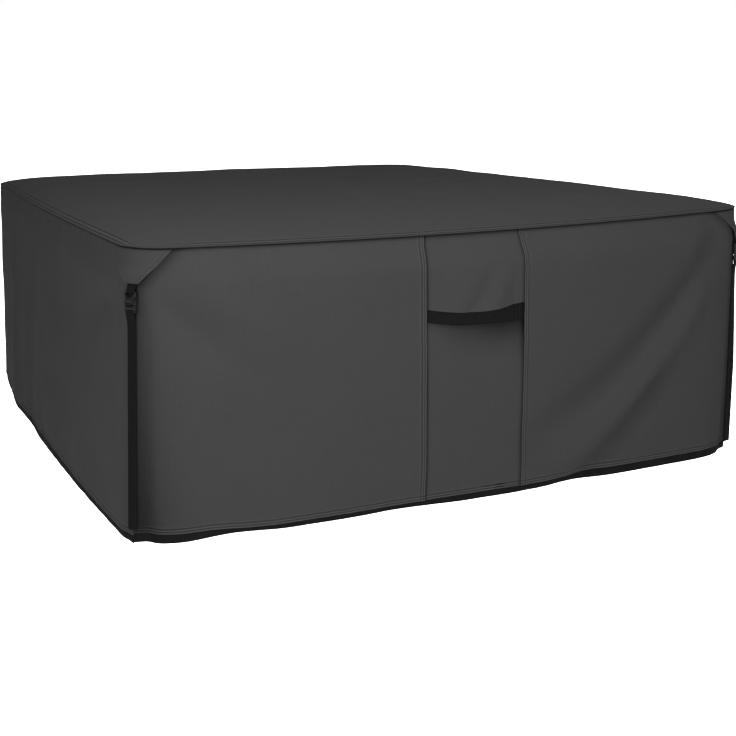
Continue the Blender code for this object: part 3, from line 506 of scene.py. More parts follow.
def one_stitch():
    """A stitch's mesh along X: a lozenge of thread."""
    bm = bmesh.new()
    size = Matrix.Diagonal((STITCH_LONG / 2, STITCH_WIDE / 2, STITCH_HIGH / 2, 1))
    bmesh.ops.create_icosphere(bm, subdivisions=1, radius=1, matrix=size)
    mesh = bpy.data.meshes.new("stitch")
    bm.to_mesh(mesh)
    bm.free()
    return mesh


def read(at, length, values):
    """Points or directions along a line, at distances from its start."""
    return np.stack([np.interp(at, length, values[:, i]) for i in range(3)], axis=-1)


def sew(name, lines):
    """Copies of one stitch, joined, along lines that are each points and outward directions."""
    stitch = one_stitch()
    shape = np.empty(len(stitch.vertices) * 3)
    stitch.vertices.foreach_get("co", shape)
    shape = shape.reshape(-1, 3)
    placed = []
    for points, normals in lines:
        steps = np.linalg.norm(np.diff(points, axis=0), axis=1)
        length = np.concatenate([[0], np.cumsum(steps)])
        at = np.arange(STITCH_PITCH / 2, length[-1], STITCH_PITCH)
        centre = read(at, length, points)
        along = unit(read(at + STITCH_PITCH / 4, length, points) - centre)
        up = unit(read(at, length, normals))
        aside = unit(np.cross(up, along))
        up = np.cross(along, aside)
        frames = np.stack([along, aside, up], axis=1)
        placed.append(centre[:, None] + np.einsum("vk,nkc->nvc", shape, frames))
    spots = np.concatenate(placed)
    bm = bmesh.new()
    for _ in range(len(spots)):
        bm.from_mesh(stitch)
    mesh = bpy.data.meshes.new(name)
    bm.to_mesh(mesh)
    bm.free()
    bpy.data.meshes.remove(stitch)
    mesh.vertices.foreach_set("co", spots.ravel())
    mesh.materials.append(thread)
    mesh.shade_smooth()
    mesh.update()
    piece = bpy.data.objects.new(name, mesh)
    bpy.context.scene.collection.objects.link(piece)
    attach(piece, "root")
    return piece


WALL_SPACING, ROW_SPACING, CORNER_GAP = 0.011, 0.011, 0.0003
TOP_STEPS = (0.0003, 0.003, 0.006, 0.010, 0.015, 0.021, 0.028, 0.036, 0.045, 0.055, 0.065, 0.075)
TOP_STEPS += (SHOULDER_DROP,)
TOP_PUCKER_DROP, TOP_PUCKER_REACH = 0.012, 0.02
LINE_STEP, WALL_LINES_CLEAR = 0.002, 0.006


def wall_drops(hem):
    """Rows of drops from the seam to the hem, close together in the shoulder and at the stitching."""
    above = hem - np.array(EDGE_STEPS[::-1])[:, None]
    count = round((WALL_DROP - SHOULDER_DROP) / ROW_SPACING)
    between = mix(SHOULDER_DROP, above[0], np.linspace(0, 1, count)[1:-1, None])
    top = np.array(TOP_STEPS)[:, None] + 0 * hem
    return np.concatenate([top, between, above])


def start_seam(side_no):
    return lambda drop: start_run(side_no, drop) + CORNER_GAP


def end_seam(side_no):
    return lambda drop: end_run(side_no, drop) - CORNER_GAP


def wall_rise(side_no, run, drop, hem, held):
    """How far a wall's cloth stands out from the form."""
    seed = 10 * (side_no + 1)
    top = PUCKER_RISE * ripples(run, 0 * run, PUCKER_WAVE, seed + 5)
    top = top * bell(drop - TOP_PUCKER_DROP, TOP_PUCKER_REACH)
    return stitched(run, hem - drop, seed) + slack(run, drop, seed + 2, np.minimum(held, drop)) + top


# Painted shade just under the lid's rim
UNDER_RIM_SHADE, UNDER_RIM_REACH = -0.95, 0.0045

# Painted shade also darkens the cloth beside the gussets and straps, by how far it reaches and how dark it
# is on the side that starts at a corner and on the side that ends there
GUSSET_TOPS = {"fl": 0.090, "fr": 0.105, "br": 0.105, "bl": 0.105}
GUSSET_CURVES = {"fl": 1.0, "fr": 1.6, "br": 1.3, "bl": 1.3}
GUSSET_TIP, GUSSET_DROP, GUSSET_STARTS = 0.017, 0.083, 0.003
STRAP_WIDTH = 0.025
GUSSET_SHADE, NEAR_SHADE, FAR_SHADE, SHADE_CHANGES = 0.72, 0.52, 0.45, 0.10
Shade = namedtuple("Shade", "reach depth")
CORNER_SHADES = {
    "fl": (Shade(0.032, 1.0), Shade(0.012, 0.3)),
    "fr": (Shade(0.030, 0.5), Shade(0.030, 0.7)),
    "br": (Shade(0.030, 0.6), Shade(0.015, 0.4)),
    "bl": (Shade(0.030, 0.6), Shade(0.015, 0.4)),
}


def gusset_half(corner, drop):
    """Half a gusset's width, which narrows from the rim to its tip."""
    down = np.clip((drop - GUSSET_STARTS) / (GUSSET_DROP - GUSSET_STARTS), 0, 1)
    return mix(GUSSET_TIP, GUSSET_TOPS[corner.name], (1 - down) ** GUSSET_CURVES[corner.name])


def beside_corner(corner, away, drop, shade):
    """The painted shade at distances from a corner's seam, beside its gusset above and its strap below."""
    from_gusset = np.maximum(away - gusset_half(corner, drop), 0)
    from_strap = np.maximum(away - STRAP_WIDTH / 2, 0)
    low, below_gusset = (drop / WALL_DROP) ** 2, smooth(drop, GUSSET_DROP, SHADE_CHANGES)
    above = GUSSET_SHADE * bell(from_gusset, 0.8 * shade.reach) * (1 - below_gusset)
    near = NEAR_SHADE * bell(from_strap, shade.reach * mix(0.5, 1.1, low))
    far = FAR_SHADE * low * bell(from_strap, 3 * shade.reach)
    return -shade.depth * (above + (near + far) * below_gusset)


# A wall's tone: painted shade and highlight at the hem's stitching, painted shade under the rim and beside
# the corners' gussets and straps
def wall_tone(side_no, run, drop, hem):
    start, end = CORNERS[side_no], CORNERS[(side_no + 1) % 4]
    tone = shaded_and_rubbed(hem - drop) + UNDER_RIM_SHADE * bell(drop, UNDER_RIM_REACH)
    tone = tone + beside_corner(start, run - start_run(side_no, drop), drop, CORNER_SHADES[start.name][0])
    return tone + beside_corner(end, end_run(side_no, drop) - run, drop, CORNER_SHADES[end.name][1])


def wall_panel(side_no, first, last, shares, rise):
    """The points, cloth places and tone of a panel between two seams, which are runs for a drop."""
    hem = hem_drop(side_no, mix(first(WALL_DROP), last(WALL_DROP), shares), "cloth")
    drop = wall_drops(hem)
    run = mix(first(drop), last(drop), shares)
    points, _ = hang(side_no, run, drop, rise(run, drop, hem))
    return points, np.stack([run, -drop], axis=-1), wall_tone(side_no, run, drop, hem)


def hem_lines(side_no, first, last, rise, clear):
    """The two rows of stitching above a hem, which stop that far short of the seams at its ends."""
    runs = np.arange(first(WALL_DROP) + clear, last(WALL_DROP) - clear, LINE_STEP)
    hem = hem_drop(side_no, runs, "cloth")
    return [hang(side_no, runs, hem - row, rise(runs, hem - row, hem)) for row in STITCH_ROWS]


for side_no in (RIGHT, BACK, LEFT):
    first, last = start_seam(side_no), end_seam(side_no)
    name = SIDES[side_no].name

    def rise(run, drop, hem, side_no=side_no):
        held = np.minimum(run - start_run(side_no, drop), end_run(side_no, drop) - run)
        return wall_rise(side_no, run, drop, hem, held)

    width = last(0) - first(0)
    shares = stations(width, WALL_SPACING)
    wall = sheet_mesh(name, *wall_panel(side_no, first, last, shares, rise))
    wall = finished(f"{name}_wall_cloth", wall, charcoal_polyester)
    lines = hem_lines(side_no, first, last, rise, WALL_LINES_CLEAR)
    hem_stitching = sew(f"{name}_hem_stitching", lines)
    set_in_place(wall, f"{name}_wall")

# Front panels. Two outer panels of the same polyester lap over the edges of a narrow middle one, and
# each lap is held by two rows of stitching from the lid down to the hem.
Seam = namedtuple("Seam", "drop left right")
SEAMS = (
    Seam(0.00, -0.162, 0.109),
    Seam(0.05, -0.173, 0.111),
    Seam(0.30, -0.172, 0.110),
    Seam(0.60, -0.174, 0.106),
    Seam(0.71, -0.180, 0.103),
)
SEAM_LAP, SEAM_EASE = 0.013, 0.04
PANEL_CLOSES_IN = (0.30, 0.37)


def seam_run(drop, which):
    """The run of the left or right lap's edge."""
    return eased(drop, SEAM_EASE, [row.drop for row in SEAMS], [getattr(row, which) for row in SEAMS])


def left_seam(drop):
    return seam_run(drop, "left")


def right_seam(drop):
    return seam_run(drop, "right")


def left_lap(drop):
    return left_seam(drop) - SEAM_LAP


def right_lap(drop):
    return right_seam(drop) + SEAM_LAP


# The outer panels' edges are turned under, so that they stand out by another layer near them.
TURNED_EDGE, TURNED_EDGE_ENDS = 0.0015, (0.010, 0.020)


def outer_rise(run, drop, hem):
    """The outer panels: stitched along their middle edges as well as at the hem."""
    inset = np.where(run < 0, left_seam(drop) - run, run - right_seam(drop))
    corner = np.where(run < 0, run - start_run(FRONT, drop), end_run(FRONT, drop) - run)
    edge = stitched(drop, np.maximum(inset, 0), 61) + TURNED_EDGE * (1 - smooth(inset, *TURNED_EDGE_ENDS))
    return wall_rise(FRONT, run, drop, hem, np.minimum(inset, corner)) + edge


# The flap's lower edge and the grab handle under it, and the painted shadow below them on the middle panel
FLAP_DROP, FLAP_DIP, FLAP_SAG, FLAP_SAGS = 0.183, 0.015, 0.003, (0.7, 1)
HANDLE_WIDTH, HANDLE_OPENS, HANDLE_OPENING = 0.033, 0.013, (0.1, 1)
UNDER_HANDLE, UNDER_HANDLE_GROWS = Shade(0.050, 0.8), (-0.9, 1.1)


def across_flap(run, drop):
    """-1 at the flap's left seam to 1 at its right seam, and beyond 1 in the laps."""
    left, right = left_seam(drop), right_seam(drop)
    return (2 * run - left - right) / (right - left)


def flap_edge(run):
    """The drop of the flap's lower edge, which dips towards its middle."""
    u = np.clip(across_flap(run, FLAP_DROP), -1, 1)
    return FLAP_DROP + FLAP_DIP * (1 - u * u) + FLAP_SAG * smooth(u, *FLAP_SAGS)


def handle_width(run):
    """The webbing's width as it hangs, more to its right where it is drawn open."""
    return HANDLE_WIDTH + HANDLE_OPENS * smooth(across_flap(run, FLAP_DROP), *HANDLE_OPENING)


# Beside the laps the seams draw the middle panel in, and painted shade darkens it there.
BESIDE_LAP_SINK, BESIDE_LAP_SLOPE = 0.0010, 0.010
BESIDE_LAP_REACH, BESIDE_LEFT_LAP, BESIDE_RIGHT_LAP = 0.006, -1.2, -0.3


def beside_lap(run, drop):
    """How far in from the nearer of the two laps' edges."""
    return np.maximum(np.minimum(run - left_seam(drop), right_seam(drop) - run), 0)


def lap_shade(run, drop):
    """The painted shade beside the laps: less beside the right one, whose own shadow is deeper."""
    tone = np.where(2 * run < left_seam(drop) + right_seam(drop), BESIDE_LEFT_LAP, BESIDE_RIGHT_LAP)
    return tone * bell(beside_lap(run, drop), BESIDE_LAP_REACH)


def middle_rise(run, drop, hem):
    """The middle panel: three layers behind the flap and handle, and one below them."""
    held = np.minimum(run - left_lap(drop), right_lap(drop) - run)
    behind = LAYER * (3 - 2 * smooth(drop, *PANEL_CLOSES_IN))
    sunk = BESIDE_LAP_SINK * bell(beside_lap(run, drop), BESIDE_LAP_SLOPE)
    return wall_rise(FRONT, run, drop, hem, held) - behind - sunk


front_first, front_last = start_seam(FRONT), end_seam(FRONT)
LAP_LINES_CLEAR, MIDDLE_LINES_CLEAR = 0.004, 0.003
seam_drops = np.arange(LAP_LINES_CLEAR, hem_drop(FRONT, 0.0, "cloth") - LAP_LINES_CLEAR, LINE_STEP)
for name, first, last, start, end, side_sign, seam in (
    ("front_left", front_first, left_seam, (0,), EDGE_STEPS, -1, left_seam),
    ("front_right", right_seam, front_last, EDGE_STEPS, (0,), 1, right_seam),
):
    width = last(0) - first(0)
    shares = stations(width, WALL_SPACING, start, end)
    points, places, tone = wall_panel(FRONT, first, last, shares, outer_rise)
    tone = tone + shaded_and_rubbed(side_sign * (places[..., 0] - seam(-places[..., 1])))
    panel = finished(f"{name}_cloth", sheet_mesh(name, points, places, tone), charcoal_polyester)
    lines = hem_lines(FRONT, first, last, outer_rise, LAP_LINES_CLEAR)
    for row in STITCH_ROWS:
        runs = seam(seam_drops) + side_sign * row
        hem = hem_drop(FRONT, runs, "cloth")
        lines.append(hang(FRONT, runs, seam_drops, outer_rise(runs, seam_drops, hem)))
    stitching = sew(f"{name}_stitching", lines)
    set_in_place(panel, f"{name}_panel")

width = right_lap(0) - left_lap(0)
MIDDLE_SPACING = 0.010
LAP_STEPS = (0, 0.008, 0.013, 0.0145, 0.016, 0.0175, 0.019, 0.021, 0.024, 0.028, 0.034, 0.042)
shares = stations(width, MIDDLE_SPACING, LAP_STEPS, LAP_STEPS)
points, places, tone = wall_panel(FRONT, left_lap, right_lap, shares, middle_rise)
run, drop = places[..., 0], -places[..., 1]
tone = tone + lap_shade(run, drop)
# Painted shadow on the middle panel below the handle, deeper towards the right
below = np.maximum(drop - flap_edge(run) - handle_width(run), 0)
rightwards = smooth(across_flap(run, drop), *UNDER_HANDLE_GROWS)
tone = tone - UNDER_HANDLE.depth * rightwards * bell(below, UNDER_HANDLE.reach)
middle = finished("middle_cloth", sheet_mesh("middle", points, places, tone), charcoal_polyester)
lines = hem_lines(FRONT, left_seam, right_seam, middle_rise, MIDDLE_LINES_CLEAR)
middle_stitching = sew("middle_hem_stitching", lines)
set_in_place(middle, "middle_panel")

# Vent flap. A hood of the same polyester over the top of the middle panel, caught in the lid's seam and
# both side seams and open below, where it bows out and its edge is turned under.
FLAP_BOW, FLAP_BOW_POWER, FLAP_BOW_GROWS, FLAP_SLACK = 0.022, 1.5, (0.01, 0.24), 0.6
FLAP_SPACING, FLAP_ROWS = 0.005, 26
FLAP_EDGE_HIGHLIGHT, FLAP_EDGE_WIDE = 0.1, 0.002
FLAP_FOLDS = (
    Fold("front", 0.098, 0.085, 0.082, 0.205, 0.0, 0.020, 0.020, -0.90, -0.70),
    Fold("front", 0.045, 0.070, -0.060, 0.212, 0.0, 0.022, 0.024, -0.65, -0.40),
    Fold("front", 0.064, 0.100, 0.018, 0.212, 0.0, 0.020, 0.022, 0.35, 0.20),
)


def bowed_out(run, drop):
    """How far the flap stands out from the form: its bow grows downwards and its folds dent it."""
    drop = np.minimum(drop, flap_edge(run))
    u = np.clip(across_flap(run, drop), -1, 1)
    dents = sum(fold_height(fold, run, drop) for fold in FLAP_FOLDS)
    return FLAP_BOW * (1 - u * u) ** FLAP_BOW_POWER * smooth(drop, *FLAP_BOW_GROWS) * (1 + dents)


width = right_lap(FLAP_DROP) - left_lap(FLAP_DROP)
shares = stations(width, FLAP_SPACING)
edge = flap_edge(mix(left_lap(FLAP_DROP), right_lap(FLAP_DROP), shares))
top = np.array(TOP_STEPS)[:, None] + 0 * edge
drop = np.concatenate([top, mix(SHOULDER_DROP, edge, np.linspace(0, 1, FLAP_ROWS)[1:, None])])
run = mix(left_lap(drop), right_lap(drop), shares)
held = np.minimum(run - left_lap(drop), right_lap(drop) - run)
rise = bowed_out(run, drop) - LAYER + slack(run, drop, 71, np.minimum(held, drop)) * FLAP_SLACK
points, _ = hang(FRONT, run, drop, rise)
places = np.stack([run, -drop], axis=-1)
# A painted highlight along the flap's turned lower edge, and painted shade under the rim and beside the laps
tone = FLAP_EDGE_HIGHLIGHT * bell(flap_edge(run) - drop, FLAP_EDGE_WIDE)
tone = tone + UNDER_RIM_SHADE * bell(drop, UNDER_RIM_REACH) + lap_shade(run, drop)
flap = finished("vent_flap_cloth", sheet_mesh("vent_flap", points, places, tone), charcoal_polyester)
set_in_place(flap, "vent_flap")

# Grab handle. One width of black polypropylene webbing under the flap's edge, with its ribs across it,
# sewn into both front seams and bowed out so that a hand goes in behind.
HANDLE_LAP, HANDLE_THICK, HANDLE_ROWS, HANDLE_SELVEDGE = 0.006, 0.0014, 17, 0.12
HANDLE_SIDE_EASE, HANDLE_TOP_EASE = 0.06, (0.16, 0.5)
# The real ribs are 1.2 mm apart, too fine to show from here, so they are drawn 4.5 mm apart
RIB_SPACING, RIB_RISE = 0.0045, 0.0004

# Woven polypropylene webbing: nearly black and dull, with a faint painted highlight on the crowns of its
# ribs
ribbed_polypropylene, tree, shader = new_material("ribbed_polypropylene_webbing")
place = add_node(tree, "ShaderNodeUVMap", {"uv_map": "cloth"}).outputs["UV"]
banded = {"wave_type": "BANDS", "bands_direction": "X"}
ribs = {"Scale": np.pi / 10 / RIB_SPACING, "Distortion": 0.5, "Detail": 1.0}
ribs = add_node(tree, "ShaderNodeTexWave", banded, ribs, {"Vector": place}).outputs["Fac"]
FIBRE_SIZE = 0.0012
fibres = {"Scale": 1 / FIBRE_SIZE, "Detail": 2.0}
fibres = add_node(tree, "ShaderNodeTexNoise", {}, fibres, {"Vector": place}).outputs["Fac"]
# The ribs' crowns are painted paler as a highlight, and the same pattern raises them in the bump
painted_tone = add_node(tree, "ShaderNodeMath", {"operation": "MULTIPLY"}, {}, {0: ribs, 1: fibres}).outputs[0]
colour_pair = {"A": colour("#070708"), "B": colour("#303030")}
shade = add_node(tree, "ShaderNodeMix", IN_COLOUR, colour_pair, {"Factor": painted_tone}).outputs["Result"]
tree.links.new(shade, shader.inputs["Base Color"])
shader.inputs["Roughness"].default_value = 0.62
shader.inputs["Specular IOR Level"].default_value = 0.06
ribbed = {"Strength": 0.6, "Distance": RIB_RISE}
ribbed = add_node(tree, "ShaderNodeBump", {}, ribbed, {"Height": painted_tone}).outputs["Normal"]
tree.links.new(ribbed, shader.inputs["Normal"])

ribs_across = np.cos(2 * np.pi * np.arange(0, width, RIB_SPACING / 4) / RIB_SPACING)
shares = np.linspace(0, 1, len(ribs_across))
run = mix(left_lap(FLAP_DROP), right_lap(FLAP_DROP), shares)
row = np.linspace(0, 1, HANDLE_ROWS)[:, None]
drop = flap_edge(run) - HANDLE_LAP + row * (HANDLE_LAP + handle_width(run))
run = run + 0 * drop
inside = smooth(1 - np.abs(across_flap(run, drop)), 0, HANDLE_SIDE_EASE)
behind = LAYER * (2 - inside * smooth(row, *HANDLE_TOP_EASE))
selvedge = smooth(np.minimum(row, 1 - row), 0, HANDLE_SELVEDGE)
rise = bowed_out(run, drop) - behind + RIB_RISE * ribs_across * selvedge
points, _ = hang(FRONT, run, drop, rise)
places = np.stack([run, -drop], axis=-1)
handle = sheet_mesh("grab_handle", points, places)
handle = finished("grab_handle_webbing", handle, ribbed_polypropylene, HANDLE_THICK)
set_in_place(handle, "grab_handle")

# Hem facings. A strip of black woven polyester is sewn inside each side's hem by the same two rows of
# stitching, and its lower edge shows as a dark band below the charcoal cloth.
FACING_LAP, FACING_WIDTH, FACING_EASE = 0.014, 0.036, (0.004, 0.04)
LOOSE_RISE, LOOSE_WAVE, LOOSE_GROWS, DUST_SIZE = 0.0005, 0.07, 0.02, 0.02

# Plain-woven polyester tape: flat black without gloss, a little paler where dust lies on it
black_woven_polyester, tree, shader = new_material("black_woven_polyester")
place = add_node(tree, "ShaderNodeUVMap", {"uv_map": "cloth"}).outputs["UV"]
threads = {"Scale": 1 / THREAD_SPACING}
threads = add_node(tree, "ShaderNodeTexChecker", {}, threads, {"Vector": place}).outputs["Fac"]
dust = {"Scale": 1 / DUST_SIZE, "Detail": 4.0}
dust = add_node(tree, "ShaderNodeTexNoise", {}, dust, {"Vector": place}).outputs["Fac"]
colour_pair = {"A": colour("#0f0f10"), "B": colour("#232324")}
shade = add_node(tree, "ShaderNodeMix", IN_COLOUR, colour_pair, {"Factor": dust}).outputs["Result"]
tree.links.new(shade, shader.inputs["Base Color"])
shader.inputs["Roughness"].default_value = 0.75
shader.inputs["Specular IOR Level"].default_value = 0.06
woven = {"Strength": 0.3, "Distance": 0.0002}
woven = add_node(tree, "ShaderNodeBump", {}, woven, {"Height": threads}).outputs["Normal"]
tree.links.new(woven, shader.inputs["Normal"])


def over_middle(run):
    """1 behind the middle panel, where the facing lies a layer deeper, and 0 away from it."""
    outside = np.maximum(left_lap(WALL_DROP) - run, run - right_lap(WALL_DROP))
    return 1 - smooth(outside, *FACING_EASE)


hem_cloths = {side.name: [f"{side.name}_wall_cloth"] for side in SIDES}
hem_cloths["front"] = ["front_left_cloth", "front_right_cloth", "middle_cloth"]
for side_no, side in enumerate(SIDES):
    first, last = start_seam(side_no), end_seam(side_no)
    width = last(WALL_DROP) - first(WALL_DROP)
    shares = stations(width, WALL_SPACING)
    run = mix(first(WALL_DROP), last(WALL_DROP), shares)
    hem, lower = hem_drop(side_no, run, "cloth"), hem_drop(side_no, run, "facing")
    lap = np.linspace(-FACING_LAP, 0, 5)[:, None] + hem
    drop = np.concatenate([lap, mix(hem, lower, np.linspace(0, 1, 7)[1:, None])])
    run = mix(first(drop), last(drop), shares)
    layers = 1 + (side_no == FRONT) * over_middle(run)
    loose = LOOSE_RISE * ripples(run, 0 * run, LOOSE_WAVE, 80 + side_no) * smooth(drop - hem, 0, LOOSE_GROWS)
    points, _ = hang(side_no, run, drop, loose - LAYER * layers)
    places = np.stack([run, -drop], axis=-1)
    name = f"{side.name}_hem_facing"
    facing = finished(name, sheet_mesh(name, points, places), black_woven_polyester)
    set_in_place(facing, f"hem_facing_{side.name}")

# Corner gussets. At each corner a tapered tab of the charcoal cloth is caught under the lid's rim and
# stitched down along both slanting edges, and the buckle's webbing comes out from under its tip.
GUSSET_CLEAR, GUSSET_LIFT, GUSSET_LIFTS_IN = 0.001, 0.0049, (0.036, 0.067)
GUSSET_ROWS, GUSSET_RELIEF, GUSSET_RELIEF_GROWS = (0.0045, 0.0095), 0.7, (GUSSET_STARTS, 0.012)
GUSSET_LINES_START, GUSSET_LINES_CLEAR, GUSSET_MIDDLE = 0.008, 0.003, 0.7


def hang_by_corner(corner_no, beside, drop, rise=0.0):
    """As hang, but beside a corner's seam: on the side before it where beside is below zero."""
    before = (corner_no - 1) % 4
    points, normals = hang(corner_no, start_run(corner_no, drop) + np.maximum(beside, 0), drop, rise)
    other, other_normals = hang(before, end_run(before, drop) + np.minimum(beside, 0), drop, rise)
    on_before = (beside < 0)[..., None]
    return np.where(on_before, other, points), np.where(on_before, other_normals, normals)


def gusset_rise(corner_no, beside, drop):
    """How far a gusset stands out from the form: it lifts towards its tip to let the webbing out."""
    inset = np.maximum(gusset_half(CORNERS[corner_no], drop) - np.abs(beside), 0)
    lift = GUSSET_LIFT * smooth(drop, *GUSSET_LIFTS_IN)
    edge = stitched(drop, inset, 90 + corner_no, GUSSET_ROWS) * smooth(drop, *GUSSET_RELIEF_GROWS)
    return GUSSET_CLEAR + CLOTH + lift + GUSSET_RELIEF * edge


edge_columns = np.linspace(GUSSET_MIDDLE, 1, 16)
middle_columns = np.linspace(-GUSSET_MIDDLE, GUSSET_MIDDLE, 40)[1:-1]
column = np.concatenate([-edge_columns[::-1], middle_columns, edge_columns])
for corner_no, corner in enumerate(CORNERS):
    drop = np.linspace(GUSSET_STARTS, GUSSET_DROP, 40)[:, None] + 0 * column
    half = gusset_half(corner, drop)
    beside = column * half
    points, _ = hang_by_corner(corner_no, beside, drop, gusset_rise(corner_no, beside, drop))
    places = np.stack([beside, -drop], axis=-1)
    tone = shaded_and_rubbed(half - np.abs(beside), GUSSET_ROWS) + UNDER_RIM_SHADE * bell(drop, UNDER_RIM_REACH)
    name = f"corner_gusset_cloth_{corner.name}"
    gusset = finished(name, sheet_mesh(name, points, places, tone), charcoal_polyester)
    drops = np.arange(GUSSET_LINES_START, GUSSET_DROP - GUSSET_LINES_CLEAR, LINE_STEP)
    lines = []
    for row in GUSSET_ROWS:
        for hand in (-1, 1):
            beside = hand * (gusset_half(corner, drops) - row)
            lines.append(hang_by_corner(corner_no, beside, drops, gusset_rise(corner_no, beside, drops)))
    gusset_stitching = sew(f"corner_gusset_stitching_{corner.name}", lines)
    set_in_place(gusset, f"corner_gusset_{corner.name}")

# Lid. One piece of the charcoal cloth, drawn taut into a shallow crown. Its edge is turned under and
# topstitched over the walls' upper edges by two rows, which leave a soft cord of cloth along the rim.
RIM_OVERHANG, RIM_BEND, CROWN_POWER = 0.001, 0.0045, 14
LID_ROWS, LID_GROOVE_WIDE = (0.011, 0.024), 0.0022
LID_EDGE_SHADE, LID_EDGE_WIDE = -0.8, 0.0035
LID_STEPS = (0, 0.001, 0.0025, 0.0045, 0.007, 0.009, 0.0102, 0.011, 0.0118, 0.013, 0.016, 0.019, 0.021)
LID_STEPS += (0.0232, 0.024, 0.0248, 0.026, 0.029, 0.034, 0.041, 0.050)
LID_SPACING, LID_RELIEF_GROWS, LID_HELD = 0.014, 0.006, 0.02


def side_length(side_no):
    """Between the middles of a side's two corners, along the seam."""
    after = (side_no + 1) % 4
    to_start = quarter_length(SIDES[side_no - 1], CORNERS[side_no], 0)
    return to_start + quarter_length(SIDES[after], CORNERS[after], 0)


def rim(side_no, share):
    """The lid's edge at a share of a side."""
    run = share * side_length(side_no) - quarter_length(SIDES[side_no - 1], CORNERS[side_no], 0)
    edge, out = plan(side_no, run, 0 * run), outward(side_no, run, 0 * run)
    return np.stack(edge, -1) + RIM_OVERHANG * np.stack(out, -1)


LID_WIDE, LID_DEEP = side_length(FRONT), side_length(RIGHT)


def insets(u, v):
    """How far in from the nearer rims, at shares of the lid's width and depth."""
    return np.minimum(u, 1 - u) * LID_WIDE, np.minimum(v, 1 - v) * LID_DEEP


def crowned(inset):
    """The crown's rise at an inset from the rim, a share of the lid: none on the seam allowance."""
    return 1 - np.maximum(0, 1 - 2 * np.maximum(0, inset - RIM_BEND / WIDTH)) ** CROWN_POWER


def underside(u, v):
    """The lid's underside, at shares of its width and depth: a patch between its four rims, crowned."""
    u_, v_ = u[..., None], v[..., None]
    ends = mix(rim(FRONT, u), rim(BACK, 1 - u), v_) + mix(rim(LEFT, 1 - v), rim(RIGHT, v), u_)
    zero, one = np.zeros(1), np.ones(1)
    near, far = mix(rim(FRONT, zero), rim(FRONT, one), u_), mix(rim(BACK, one), rim(BACK, zero), u_)
    x, y = np.moveaxis(ends - mix(near, far, v_), -1, 0)
    inset_x, inset_y = insets(u, v)
    swell = crowned(inset_x / LID_WIDE) * crowned(inset_y / LID_DEEP)
    return np.stack([x, y, seam_height(x, y) + CROWN * swell], axis=-1)


def lid(u, v):
    """Points of the lid's outer face and its outward directions."""
    step = 0.0005
    low_u, high_u = np.maximum(u - step, 0), np.minimum(u + step, 1)
    low_v, high_v = np.maximum(v - step, 0), np.minimum(v + step, 1)
    across, away = underside(high_u, v) - underside(low_u, v), underside(u, high_v) - underside(u, low_v)
    normal = unit(np.cross(across, away))
    inset_x, inset_y = insets(u, v)
    inset = np.minimum(inset_x, inset_y)
    along = np.where(inset_x < inset_y, v * LID_DEEP, u * LID_WIDE)
    relief = stitched(along, inset, 101, LID_ROWS) * smooth(inset, 0, LID_RELIEF_GROWS)
    relief = relief + slack(u * LID_WIDE, v * LID_DEEP, 102, np.maximum(inset - LID_HELD, 0))
    return underside(u, v) + normal * (CLOTH + relief)[..., None], normal


u = stations(LID_WIDE, LID_SPACING, LID_STEPS, LID_STEPS)
v = stations(LID_DEEP, LID_SPACING, LID_STEPS, LID_STEPS)[::-1]
u, v = np.meshgrid(u, v)
points, _ = lid(u, v)
places = np.stack([u * LID_WIDE, v * LID_DEEP], axis=-1)
inset = np.minimum(*insets(u, v))
# Painted shade and highlight at the rim's two rows of stitching, and painted shade along the rim's very edge
tone = shaded_and_rubbed(inset, LID_ROWS, LID_GROOVE_WIDE) + LID_EDGE_SHADE * bell(inset, LID_EDGE_WIDE)
lid_cloth = finished("lid_cloth", sheet_mesh("lid", points, places, tone), charcoal_polyester)
lines = []
for row in LID_ROWS:
    a, b = row / LID_WIDE, row / LID_DEEP
    us, vs = np.arange(a, 1 - a, LINE_STEP / LID_WIDE), np.arange(b, 1 - b, LINE_STEP / LID_DEEP)
    lines += [lid(us, 0 * us + b), lid(0 * vs + 1 - a, vs), lid(us, 0 * us + 1 - b), lid(0 * vs + a, vs)]
lid_stitching = sew("lid_stitching", lines)
set_in_place(lid_cloth, "top_panel")

# Buckle webbing. A short tab of 25 mm polypropylene webbing loops through the upper buckle half from
# under the gusset, and the strap loops through the lower half and runs down the corner to the hem.
WEBBING, TAB_LENGTH, STRAP_LENGTH = 0.0015, 0.09, 0.60
BUCKLE_OUT, BUCKLE_MOUTH = 0.0062, 0.134
BAR_THICK = 0.003
SOCKET_BAR = 0.032 - BAR_THICK / 2
PLUG_BAR = BAR_THICK / 2 - 0.0165
LOOP_RADIUS = BAR_THICK / np.sqrt(2) + GAP + WEBBING / 2
# The webbing's way behind and in front of the buckle's bars, by how far down and how far off the wall
Rest = namedtuple("Rest", "drop height")
TAB_IN_FRONT = (Rest(0.066, 0.0030), Rest(GUSSET_DROP, 0.0032))
TAB_BEHIND = (Rest(GUSSET_DROP, GUSSET_CLEAR), Rest(0.066, GUSSET_CLEAR))
STRAP_BEHIND = (Rest(0.024, GAP), Rest(0.010, 0.0028))
STRAP_IN_FRONT = (Rest(0.010, 0.0062), Rest(0.022, 0.0027), Rest(0.030, 0.0017), Rest(0.046, GAP))
# From this far below its bar the strap lies on the wall, down to its end at the hem
STRAP_STEADY, STRAP_STEPS = 0.086, 60
STRAP_ENDS_ABOVE_HEM = {"fl": 0.010, "fr": -0.004, "br": 0.010, "bl": 0.010}

# The front right strap twists off the cloth towards the front, about its left edge, at these drops
Twist = namedtuple("Twist", "drop degrees")
STRAP_TWISTS = (Twist(0.07, 0), Twist(0.12, 4), Twist(0.25, 12), Twist(0.45, 30), Twist(0.71, 24))


